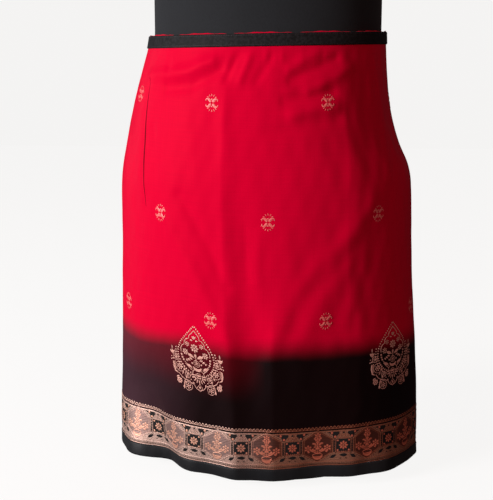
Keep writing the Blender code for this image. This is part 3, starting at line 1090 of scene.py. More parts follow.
class Motifs:
    """The woven figures: traditional flower, vase and leaf forms, laid out for this cloth."""

    @staticmethod
    def sprig() -> Drawing:
        """Draw the small scattered figure: four comma petals in a cross, and a fan of rays above and below.

        Returns:
            The drawing.
        """
        drawing = Drawing(0.36)
        comma = ((1.2, 0.9), (2.3, 2.5), (3.6, 4.0), (5.2, 4.9), (6.9, 4.6), (7.8, 3.2), (7.4, 1.9))
        widths = (2.0, 3.5, 3.2, 2.1, 1.5, 1.2, 0.8)
        for side in (1.0, -1.0):
            for up in (1.0, -1.0):
                order = slice(None, None, 1 if side * up > 0 else -1)
                drawing.stroke([(side * x, up * y) for x, y in comma][order], widths[order])
        for up in (1.0, -1.0):
            drawing.shape(circle(0.0, up * 4.4, 1.05, 8))
            for index in range(5):
                turn = 90.0 * up + (index - 2) * 31.0
                x, y = 4.1 * math.cos(math.radians(turn)), up * 4.4 + 3.5 * math.sin(math.radians(turn))
                drawing.shape(petal(x, y, turn, 3.2, 1.3, count=3))
        return drawing

    @staticmethod
    def flower_vase() -> Drawing:
        """Draw a low bowl with a spray of five flowers, 46 mm to the tip of the top one.

        Returns:
            The drawing.
        """
        drawing = Drawing(0.28)
        rim = circle(0.0, 0.0, 1.0, 16)
        drawing.stroke([(6.3 * x, 14.6 + 2.3 * y) for x, y in rim], 0.8, closed=True)
        bowl = arc(0.0, 14.8, 6.7, 184.0, 356.0, 11)
        bowl += [(5.4, 13.1), (3.0, 12.0), (0.0, 11.6), (-3.0, 12.0), (-5.4, 13.1)]
        drawing.plate(bowl, 0.25)
        drawing.stroke([(0.0, 16.0), (0.0, 40.0)], 0.8)
        for side in (1.0, -1.0):
            drawing.stroke([(0.0, 17.0), (side * 3.6, 18.6), (side * 7.4, 20.2), (side * 10.4, 22.6)], 0.9)
            drawing.add(daisy(6, 5.1, 1.0, 0.66), (side * 12.4, 24.4))
            drawing.shape(petal(side * 6.4, 19.6, 90.0 - side * 4.0, 5.2, 2.2, side * 30.0))
            drawing.shape(petal(side * 9.0, 20.6, 90.0 - side * 120.0, 4.4, 1.9))
            drawing.shape(petal(side * 0.6, 19.4, 90.0 - side * 56.0, 9.6, 3.0, -side * 40.0))
            drawing.shape(petal(side * 1.2, 29.6, 90.0 - side * 62.0, 6.4, 2.6, -side * 34.0))
            drawing.shape(petal(side * 0.8, 36.4, 90.0 - side * 64.0, 4.6, 2.0, -side * 30.0))
            drawing.shape(circle(side * 5.2, 31.0, 0.8, 6))
            drawing.shape(circle(side * 4.4, 38.4, 0.7, 6))
        drawing.add(daisy(7, 5.4, 1.1, 0.66), (0.0, 26.8))
        drawing.add(daisy(5, 3.6, 0.8, 0.66), (0.0, 34.4))
        drawing.add(daisy(6, 4.5, 0.9, 0.66), (0.0, 41.2))
        return drawing

    @staticmethod
    def hexagon(inset: float) -> list[Point2]:
        """Give the cartouche's outline, drawn in by inset, with its middle at x 0."""
        half, low, high = 19.2 - inset, 5.2 + inset * 1.2, 49.0 - inset * 1.2
        return [(0.0, low), (half, 17.6), (half, 36.4), (0.0, high), (-half, 36.4), (-half, 17.6)]

    @classmethod
    def cartouche_ground(cls) -> Drawing:
        """Draw the dull ground behind each vase.

        Returns:
            The drawing.
        """
        drawing = Drawing(0.05)
        drawing.plate(cls.hexagon(0.4))
        return drawing

    @classmethod
    def border_black(cls, pitch: float) -> Drawing:
        """Draw where the black ground shows through the border, for one repeat.

        Args:
            pitch: The repeat, in millimetres.

        Returns:
            The drawing.
        """
        drawing = Drawing(0.06)
        middle = pitch / 2.0
        drawing.plate(rectangle(middle, 27.1, 9.2, 8.7))
        notch = ((6.0, 45.6), (14.4, 45.8), (21.0, 45.4), (16.0, 42.6), (13.8, 41.0), (13.4, 37.4),
                 (10.6, 35.9), (9.0, 38.2), (7.6, 40.8), (4.8, 42.4))
        for side in (1.0, -1.0):
            drawing.plate(rectangle(middle + side * 11.5, 26.5, 1.2, 8.5))
            drawing.plate([(middle + side * x, y) for x, y in notch])
            drawing.plate(petal(middle + side * 8.6, 14.8, 90.0 - side * 122.0, 9.4, 4.2))
            drawing.plate(petal(middle + side * 9.6, 15.6, 90.0 - side * 10.0, 2.6, 1.0, count=3))
            drawing.plate(petal(middle + side * 2.0, 9.8, 90.0 - side * 100.0, 3.2, 1.2, count=3))
        drawing.plate(petal(middle - 5.6, 13.9, 0.0, 11.2, 4.4))
        drawing.plate(circle(middle, 44.0, 1.3, 6))
        corners = cls.hexagon(-2.2)
        for first, second in ((0, 1), (5, 0), (2, 3), (3, 4)):
            for share in (0.2, 0.32, 0.44, 0.56, 0.68, 0.8):
                x, y = (a + (b - a) * share for a, b in zip(corners[first], corners[second]))
                drawing.plate(circle(x, y, 0.55, 5))
        dots = 24
        for index in range(dots):
            x = (index + 0.5) * pitch / dots
            for y, radius in ((3.6, 0.5), (1.5, 0.42), (48.2, 0.42)):
                drawing.plate(circle(x, y, radius, 5))
        return drawing

    @classmethod
    def border_copper(cls, pitch: float) -> Drawing:
        """Draw the copper lines, loops and pots of one border repeat.

        Args:
            pitch: The repeat, in millimetres.

        Returns:
            The drawing.
        """
        drawing = Drawing(0.2)
        middle = pitch / 2.0
        for y, width in ((0.4, 0.9), (5.4, 0.7), (46.5, 0.8), (50.0, 0.7)):
            drawing.stroke([(x, y) for x in np.linspace(0.0, pitch, 23)], width)
        drawing.stroke(cls.hexagon(0.0), 0.75, closed=True)
        drawing.stroke(cls.hexagon(2.0), 0.55, closed=True)
        loops = 14
        for index in range(loops):
            x = (index + 0.5) * pitch / loops
            loop = ((-2.3, 50.2), (-1.3, 52.4), (0.0, 53.6), (1.3, 52.4), (2.3, 50.2))
            drawing.stroke([(x + shift, y) for shift, y in loop], 0.8)
            drawing.shape(circle(x, 51.4, 0.55, 6))
        for side in (1.0, -1.0):
            for x in (middle + side * 9.7, middle + side * 13.3):
                drawing.stroke([(x, 17.6), (x, 36.2)], 0.65)
            for rung in range(7):
                drawing.shape(circle(middle + side * 11.5, 19.4 + 2.4 * rung, 0.55, 5))
            for width, line in ((0.7, ((1.6, 45.6), (2.2, 42.4), (4.4, 39.2), (5.6, 37.0))),
                                (0.6, ((0.0, 42.2), (1.6, 40.2), (2.4, 37.2)))):
                drawing.stroke([(middle + side * x, y) for x, y in line], width)
            drawing.shape(petal(middle + side * 4.9, 43.0, 90.0 - side * 150.0, 3.6, 1.4))
        drawing.stroke([(middle - 6.2, 36.8), (middle + 6.2, 36.8)], 0.8)
        drawing.stroke([(middle - 9.6, 17.6), (middle + 9.6, 17.6)], 0.8)
        return drawing

    @classmethod
    def border_coral(cls, pitch: float) -> Drawing:
        """Draw the bright figures of one border repeat: the vase, the square's flower and the discs.

        Args:
            pitch: The repeat, in millimetres.

        Returns:
            The drawing.
        """
        drawing = Drawing(0.28)
        middle = pitch / 2.0
        drawing.add(cls.flower_vase())
        drawing.add(daisy(8, 6.0, 1.1, 0.7), (middle, 27.1))
        for side in (1.0, -1.0):
            for up in (1.0, -1.0):
                drawing.shape(circle(middle + side * 7.2, 27.1 + up * 6.6, 1.25, 8))
            drawing.shape(circle(middle + side * 10.8, 38.9, 1.7, 8))
            drawing.shape(circle(middle + side * 15.0, 44.2, 1.6, 8))
        for index in range(7):
            drawing.shape(circle(middle - 7.5 + 2.5 * index, 18.9, 0.5, 5))
        return drawing

    @staticmethod
    def leaf_outline(reach: float) -> list[Point2]:
        """Give a pointed leaf's outline, grown by reach from the middle line, anticlockwise from its tip.

        Args:
            reach: How far it is grown, in millimetres.

        Returns:
            The outline.
        """
        right = ((0.0, 87.0), (5.6, 80.6), (12.6, 72.0), (19.4, 63.0), (23.8, 53.6), (24.6, 44.4),
                 (21.6, 35.6), (15.6, 28.4), (8.0, 24.0))
        grown = []
        for x, y in right:
            away = math.hypot(x, y - 46.0)
            grown.append((x * (1.0 + reach / away), 46.0 + (y - 46.0) * (1.0 + reach / away)))
        return [(-x, y) for x, y in grown] + grown[::-1]

    @classmethod
    def leaf_bouquet(cls) -> Drawing:
        """Draw the large figure: a leaf of flowers ringed with dashes, over a half flower and two sprays.

        Returns:
            The drawing.
        """
        drawing = Drawing(0.28)
        for reach, count, dash, width in ((0.0, 54, 2.9, 1.9), (3.7, 58, 2.5, 1.8)):
            line = np.array(cls.leaf_outline(reach))
            lengths = np.concatenate([[0.0], np.cumsum(np.linalg.norm(np.diff(line, axis=0), axis=1))])
            for index in range(count):
                far = lengths[-1] * (index + 0.5) / count
                x, y = float(np.interp(far, lengths, line[:, 0])), float(np.interp(far, lengths, line[:, 1]))
                if reach > 0.0 and y > 56.0:
                    continue
                turn = math.degrees(math.atan2(y - 46.0, x))
                drawing.shape(petal(x, y, turn, dash, width, count=3))
        lobes = ((0.0, 82.6), (3.4, 78.6), (7.2, 74.6), (7.9, 70.6), (11.4, 69.4), (14.6, 65.8), (15.0, 61.6),
                 (18.6, 59.4), (21.0, 55.0), (20.9, 49.8))
        for side in (1.0, -1.0):
            drawing.stroke([(side * x, y) for x, y in lobes], 1.05)
            for x, y in ((20.6, 46.4), (19.9, 42.9), (18.6, 39.7)):
                drawing.shape(circle(side * x, y, 1.35, 8))
            for shift in (0.0, 2.6):
                path = ((17.6 - shift * 0.3, 38.0 - shift), (12.6, 33.6 - shift), (7.6, 29.8 - shift))
                drawing.stroke([(side * x, y) for x, y in path], 0.8)
            cls.add_side_flowers(drawing, side)
        drawing.add(cls.bouquet_heart())
        drawing.add(cls.half_flower())
        for side in (1.0, -1.0):
            drawing.add(cls.curled_spray(), scale=1.08, mirror=side < 0.0)
        return drawing

    @staticmethod
    def add_side_flowers(drawing: Drawing, side: float) -> None:
        """Draw one side of the flowers inside the leaf.

        Args:
            drawing: The drawing that gets them.
            side: 1 for the right and -1 for the left.
        """
        drawing.add(daisy(6, 3.5, 0.9, 0.62), (side * 10.4, 62.6))
        drawing.add(daisy(7, 4.4, 1.0, 0.62), (side * 14.4, 51.4))
        drawing.shape(petal(side * 1.8, 45.0, 90.0 - side * 56.0, 10.4, 4.2, -side * 22.0))
        drawing.shape(petal(side * 4.6, 42.8, 90.0 - side * 78.0, 5.4, 2.2))
        drawing.shape(petal(side * 8.4, 40.4, 90.0 - side * 60.0, 4.8, 2.4))
        drawing.shape(petal(side * 1.6, 68.4, 90.0 - side * 78.0, 4.2, 1.9))
        drawing.shape(petal(side * 12.2, 38.6, 90.0 - side * 40.0, 4.0, 2.0))
        drawing.shape(circle(side * 6.4, 37.8, 1.15, 8))
        drawing.shape(petal(side * 7.4, 31.6, 90.0 - side * 70.0, 8.6, 3.6))

    @staticmethod
    def bouquet_heart() -> Drawing:
        """Draw the leaf's middle: a bud, a full flower, a seed head and a crescent bowl.

        Returns:
            The drawing.
        """
        drawing = Drawing(0.3)
        for turn in (62.0, 90.0, 118.0):
            drawing.shape(petal(0.0, 69.8, turn, 5.6, 1.8))
        drawing.add(daisy(8, 5.8, 1.4, 0.72), (0.0, 58.6))
        drawing.shape(petal(0.0, 45.4, 90.0, 6.0, 3.0))
        drawing.stroke([(0.0, 41.0), (0.0, 46.0)], 0.9)
        drawing.add(rosette(6, 4.2, 1.2), (0.0, 38.2))
        bowl = arc(0.0, 34.6, 6.6, 190.0, 350.0, 11) + arc(0.0, 37.6, 6.2, 318.0, 222.0, 9)
        drawing.plate(bowl, 0.26)
        return drawing

    @staticmethod
    def half_flower() -> Drawing:
        """Draw the half flower that hangs under the leaf, with its diamond drop.

        Returns:
            The drawing.
        """
        drawing = Drawing(0.28)
        hub = 22.2
        drawing.shape(circle(0.0, hub, 1.6, 10))
        drawing.stroke(arc(0.0, hub, 3.4, 0.0, 340.0, 15), 0.7)
        for index in range(9):
            turn = math.radians(180.0 + 22.5 * index)
            x, y = 4.6 * math.cos(turn), hub + 4.6 * math.sin(turn)
            drawing.shape(petal(x, y, math.degrees(turn), 6.6, 1.5))
        drawing.stroke(arc(0.0, hub, 8.6, 8.0, 62.0, 9), 0.8)
        drawing.stroke(arc(0.0, hub, 8.6, 118.0, 172.0, 9), 0.8)
        drawing.stroke([(0.0, 1.6), (3.9, 6.2), (0.0, 11.0), (-3.9, 6.2)], 0.9, closed=True)
        drawing.shape(petal(0.0, 4.2, 90.0, 4.4, 2.4))
        for side in (1.0, -1.0):
            drawing.stroke([(side * 1.2, 2.4), (side * 5.4, 4.6), (side * 8.8, 9.2)], 0.9)
            drawing.shape(petal(side * 8.0, 8.6, 90.0 - side * 20.0, 4.2, 2.0))
        return drawing

    @staticmethod
    def curled_spray() -> Drawing:
        """Draw the right spray: buds, rosettes and leaves on a stem that curls up beside the leaf.

        Returns:
            The drawing.
        """
        drawing = Drawing(0.28)
        drawing.stroke([(9.4, 9.0), (13.6, 11.4), (18.8, 12.0), (23.4, 14.6), (26.8, 19.4)], 0.9)
        drawing.stroke([(18.8, 12.0), (20.6, 8.6), (21.4, 4.4)], 0.9)
        drawing.shape(petal(21.2, 5.4, -84.0, 5.2, 2.0))
        drawing.add(rosette(6, 5.2, 1.2), (15.4, 4.8))
        drawing.add(daisy(7, 4.0, 1.1), (27.2, 9.6))
        drawing.add(rosette(7, 6.0, 1.3), (24.2, 27.0))
        drawing.add(rosette(5, 3.5, 1.0), (15.0, 18.2))
        drawing.stroke([(31.6, 20.0), (33.2, 26.0), (32.6, 32.2)], 1.9)
        drawing.stroke([(30.4, 33.0), (31.4, 27.4), (30.6, 22.4)], 0.8)
        drawing.add(rosette(5, 3.9, 1.1), (28.2, 38.6))
        for turn in (58.0, 90.0, 122.0):
            drawing.shape(petal(32.4, 41.6, turn, 6.2, 2.1))
        drawing.shape(petal(32.4, 47.0, 90.0, 5.6, 1.5))
        for x, y, turn, length in (
            (27.4, 18.4, 22.0, 5.6), (26.6, 15.2, -28.0, 5.4), (22.2, 17.8, 118.0, 4.8),
            (17.4, 12.6, 96.0, 4.6), (20.4, 9.8, -150.0, 3.8), (30.4, 36.0, -10.0, 4.2),
            (18.2, 22.4, 100.0, 4.0),
        ):
            drawing.shape(petal(x, y, turn, length, 1.6))
        for x, y in ((34.8, 38.2), (35.4, 34.6), (11.2, 13.6), (20.6, 20.6)):
            drawing.shape(circle(x, y, 0.8, 6))
        return drawing


class Follower:
    """Geometry Nodes that repeat a flat drawing along the cloth and lay it on the surface."""

    def __init__(self) -> None:
        """Build the shared tree."""
        self.tree = self.build_tree()

    @staticmethod
    def build_tree() -> NodeTree:
        """Build the tree with its named inputs.

        Returns:
            The node tree, which ends in Realize Instances and Set Material.
        """
        tree = bpy.data.node_groups.new("lay_along_cloth", "GeometryNodeTree")
        socket = tree.interface.new_socket
        socket(name="Geometry", in_out="OUTPUT", socket_type="NodeSocketGeometry")
        for name, kind in (("Figure", "Object"), ("Cloth", "Object"), ("Count", "Int"), ("Start", "Vector"),
                           ("Pitch", "Vector"), ("Lift", "Float"), ("Material", "Material")):
            socket(name=name, in_out="INPUT", socket_type=f"NodeSocket{kind}")
        add = partial(add_node, tree)
        given = add("NodeGroupInput").outputs
        figure = add("GeometryNodeObjectInfo", {"Object": given["Figure"]}).outputs["Geometry"]
        cloth = add("GeometryNodeObjectInfo", {"Object": given["Cloth"]}).outputs["Geometry"]
        line = add("GeometryNodeMeshLine", {
            "Count": given["Count"], "Start Location": given["Start"], "Offset": given["Pitch"],
        }, mode="OFFSET").outputs[0]
        copies = add("GeometryNodeInstanceOnPoints", {"Points": line, "Instance": figure}).outputs[0]
        flat = add("GeometryNodeRealizeInstances", {0: copies}).outputs[0]
        place = add("GeometryNodeInputPosition").outputs[0]
        parts = add("ShaderNodeSeparateXYZ", {0: place}).outputs
        spot = add("ShaderNodeCombineXYZ", {"X": parts["X"], "Y": parts["Y"]}).outputs[0]
        marked = add("GeometryNodeStoreNamedAttribute", {
            "Geometry": flat, "Name": "cloth_uv", "Value": spot,
        }, data_type="FLOAT2", domain="CORNER").outputs[0]
        source, outward = (
            add("GeometryNodeInputNamedAttribute", {"Name": name}, data_type="FLOAT_VECTOR").outputs[0]
            for name in ("cloth_uv", "cloth_normal"))
        found = []
        for value in (place, outward):
            inputs = {"Mesh": cloth, "Value": value, "Source UV Map": source, "Sample UV": spot}
            found.append(add("GeometryNodeSampleUVSurface", inputs, data_type="FLOAT_VECTOR").outputs)
        height = add("ShaderNodeMath", {0: parts["Z"], 1: given["Lift"]}, operation="ADD").outputs[0]
        raised = add("ShaderNodeVectorMath", {0: found[1]["Value"], "Scale": height}, operation="SCALE")
        laid = add("ShaderNodeVectorMath", {0: found[0]["Value"], 1: raised.outputs[0]}, operation="ADD")
        missing = add("FunctionNodeBooleanMath", {0: found[0]["Is Valid"]}, operation="NOT").outputs[0]
        kept = add("GeometryNodeDeleteGeometry", {"Geometry": marked, "Selection": missing}).outputs[0]
        moved = add("GeometryNodeSetPosition", {0: kept, "Position": laid.outputs[0]}).outputs[0]
        dressed = add("GeometryNodeSetMaterial", {"Geometry": moved, "Material": given["Material"]})
        add("NodeGroupOutput", {"Geometry": dressed.outputs[0]})
        return tree

    def lay(self, name: str, figure: Object, cloth: Object, count: int, start: Point2,
            pitch: Point2, lift: float, material: Material) -> Mesh:
        """Repeat a figure along the cloth and give the result as a plain mesh.

        Args:
            name: The mesh's name.
            figure: The flat drawing to repeat.
            cloth: The sheet it lies on.
            count: How many repeats.
            start: Where the first one goes on the flat cloth, in millimetres.
            pitch: The step to the next one, in millimetres.
            lift: How far its underside is off the cloth, in millimetres.
            material: Its material.

        Returns:
            The mesh, laid on the cloth.
        """
        holder = put_in_scene(name, bpy.data.meshes.new(name))
        modifier = holder.modifiers.new("lay", "NODES")
        modifier.node_group = self.tree
        values = {
            "Figure": figure, "Cloth": cloth, "Count": count, "Start": (start[0] * MM, start[1] * MM, 0.0),
            "Pitch": (pitch[0] * MM, pitch[1] * MM, 0.0), "Lift": lift * MM, "Material": material,
        }
        for item in self.tree.interface.items_tree:
            if item.in_out == "INPUT":
                modifier[item.identifier] = values[item.name]
        evaluated = holder.evaluated_get(bpy.context.evaluated_depsgraph_get())
        mesh = bpy.data.meshes.new_from_object(evaluated)
        bpy.data.objects.remove(holder)
        return mesh


def join_meshes(name: str, meshes: Iterable[Mesh]) -> Object:
    """Join plain meshes into one object, keeping their cloth UV map.

    Args:
        name: The object's name.
        meshes: The meshes, which are used up.

    Returns:
        The joined object, linked to the scene.
    """
    builder = bmesh.new()
    for mesh in meshes:
        builder.from_mesh(mesh)
        bpy.data.meshes.remove(mesh)
    mesh = bpy.data.meshes.new(name)
    builder.to_mesh(mesh)
    builder.free()
    mesh.shade_smooth()
    return put_in_scene(name, mesh)


@dataclass
class Panel:
    """The skirt's one panel of silk, with the sheet that its figures are laid on."""

    cloth: Cloth
    columns: int = 380
    rows: int = 124
    thickness: float = 0.8
    dart_top: float = 560.0
    dart_half: float = 3.0
    pull_centre: Point2 = (-81.0, 130.0)
    pull_reach: float = 58.0
    pull_lean: float = 0.2
    pull_sag: float = 0.1
    side_rise: float = 6.0
    side_reach: float = 130.0
    side_rise_from: float = 170.0
    side_rise_over: float = 130.0

    def grid(self) -> tuple[Array, Array]:
        """Work out the outer face and its place on the flat cloth.

        Returns:
            The points and their flat places, in metres.
        """
        angle = self.cloth.angles(self.columns)[:, None]
        low = self.cloth.panel_low(angle)
        high = self.cloth.cloth_top(angle)
        level = low + (high - low) * np.linspace(0.0, 1.0, self.rows)[None, :]
        points = self.cloth.place(angle, level)
        steps = np.linalg.norm(np.diff(points, axis=0), axis=2)
        along = np.concatenate([np.zeros((1, self.rows)), np.cumsum(steps, axis=0)])
        along = along - np.array([[np.interp(360.0, angle[:, 0], row) for row in along.T]])
        for dart in DARTS:
            share = smooth_step((level - dart.end) / (self.dart_top - dart.end))
            away = math.copysign(1.0, dart.angle - 360.0)
            past = smooth_step((away * (angle - dart.angle) + self.dart_half) / (2.0 * self.dart_half))
            along = along + away * past * share * dart.intake * MM
        rises = np.linalg.norm(np.diff(points, axis=1), axis=2)
        height = np.concatenate([np.zeros((self.columns, 1)), np.cumsum(rises, axis=1)], axis=1)
        (centre_u, centre_v), reach = self.pull_centre, self.pull_reach
        across, upward = along - centre_u * MM, height - centre_v * MM
        pull = np.exp(-(across**2 + upward**2) / (reach * MM) ** 2)
        rise = self.side_rise * MM * (1.0 - np.exp(-((along / (self.side_reach * MM)) ** 2)))
        rise = rise * smooth_step((height / MM - self.side_rise_from) / self.side_rise_over)
        along, height = along + self.pull_lean * pull * upward, height + self.pull_sag * pull * across - rise
        return points, np.stack([along, height], axis=2)

    def sheet(self) -> Object:
        """Make the single sheet that figures are laid on."""
        return make_sheet("panel_sheet", *self.grid())

    def build(self) -> Object:
        """Make the panel as a thin closed wall.

        Returns:
            The panel's object.
        """
        outer, flat = self.grid()
        inner = outer - outward_normals(outer) * self.thickness * MM
        points = np.concatenate([outer.reshape(-1, 3), inner.reshape(-1, 3)])
        count = self.columns * self.rows
        faces = grid_faces(self.columns, self.rows) + grid_faces(self.columns, self.rows, count, flip=True)
        index = np.arange(count).reshape(self.columns, self.rows)
        for rim in (index[:, 0], index[::-1, -1], index[0, ::-1], index[-1]):
            faces += [(a, a + count, b + count, b) for a, b in zip(rim[:-1].tolist(), rim[1:].tolist())]
        uv = np.concatenate([flat.reshape(-1, 2)] * 2)
        return make_object("silk_panel", points, faces, uv)


@dataclass
class Strip:
    """A sewn strip that follows the cloth: a closed loop of (out, rise) points run along the wrap."""

    cloth: Cloth
    name: str
    loop: tuple[Point2, ...]
    columns: int = 420

    def build(self, level_at: Callable[[Array], Array], wave: float = 0.0) -> Object:
        """Make the strip.

        Args:
            level_at: Gives the level of the loop's zero rise at an angle.
            wave: How far hand sewing lets its face swell and sink.

        Returns:
            The strip's object.
        """
        angle = self.cloth.angles(self.columns)
        loop = np.array(self.loop)
        out = loop[None, :, 0] * np.ones((self.columns, 1))
        ripple = np.sin(angle * 1.7) * np.sin(angle * 0.57 + 0.8) + 0.5 * np.sin(angle * 3.9)
        out = out + wave * ripple[:, None] * (loop[None, :, 0] > loop[:, 0].mean())
        level = level_at(angle)[:, None] + loop[None, :, 1]
        points = self.cloth.place(angle[:, None], level, out)
        rows = len(self.loop)
        faces = grid_faces(self.columns, rows, closed=True, flip=True)
        faces.append(tuple(range(rows)))
        faces.append(tuple(range((self.columns - 1) * rows, self.columns * rows))[::-1])
        steps = np.linalg.norm(np.diff(points[:, 0], axis=0), axis=1)
        along = np.concatenate([[0.0], np.cumsum(steps)])
        flat = np.stack(np.broadcast_arrays(along[:, None], loop[None, :, 1] * MM), axis=2)
        return make_object(self.name, points.reshape(-1, 3), faces, flat.reshape(-1, 2))


@dataclass
class Zari:
    """All woven figures of the panel."""

    sheet: Object
    follower: Follower
    finishes: dict[Thread, Material]
    border_pitch: float = 65.8
    border_count: int = 19
    border_start: float = -449.2
    sprig_pitch: float = 143.0
    sprig_rows: tuple[Point2, ...] = ((191.0, -343.5), (316.0, -417.0), (458.0, -345.0))
    sprigs_in_row: int = 8
    bouquet_height: float = 94.6
    bouquet_scale: float = 0.96
    bouquet_start: float = -344.0
    bouquet_count: int = 4
    repeats_per_bouquet: int = 4
    lift: float = 0.16

    def border(self) -> list[Object]:
        """Make the woven border: black openings, dull grounds and bright zari.

        Returns:
            The border's pieces, lowest first.
        """
        pitch = (self.border_pitch, 0.0)
        start = (self.border_start, 0.0)
        made = []
        for name, drawing, thread, lift in (
            ("border_black", Motifs.border_black(self.border_pitch), Thread.BLACK, 0.10),
            ("border_ground", Motifs.cartouche_ground(), Thread.TAUPE, 0.10),
            ("border_copper", Motifs.border_copper(self.border_pitch), Thread.COPPER, 0.14),
            ("border_coral", Motifs.border_coral(self.border_pitch), Thread.CORAL, self.lift),
        ):
            figure = drawing.to_object(f"{name}_figure")
            mesh = self.follower.lay(name, figure, self.sheet, self.border_count, start, pitch, lift,
                                     self.finishes[thread])
            made.append(join_meshes(name, [mesh]))
            bpy.data.objects.remove(figure)
        return made

    def sprigs(self) -> Object:
        """Make the scattered sprigs in three half-dropped rows.

        Returns:
            The sprigs, as one piece.
        """
        figure = Motifs.sprig().to_object("sprig_figure")
        meshes = [
            self.follower.lay("sprigs", figure, self.sheet, self.sprigs_in_row, (start, height),
                              (self.sprig_pitch, 0.0), self.lift, self.finishes[Thread.PINK])
            for height, start in self.sprig_rows
        ]
        bpy.data.objects.remove(figure)
        return join_meshes("silk_sprigs", meshes)

    def bouquets(self) -> Object:
        """Make the large leaf figures over every fourth border repeat.

        Returns:
            The figures, as one piece.
        """
        drawing = Drawing()
        drawing.add(Motifs.leaf_bouquet(), scale=self.bouquet_scale)
        figure = drawing.to_object("bouquet_figure")
        mesh = self.follower.lay(
            "bouquets", figure, self.sheet, self.bouquet_count, (self.bouquet_start, self.bouquet_height),
            (self.border_pitch * self.repeats_per_bouquet, 0.0), self.lift, self.finishes[Thread.ROSE])
        bpy.data.objects.remove(figure)
        return join_meshes("silk_bouquets", [mesh])


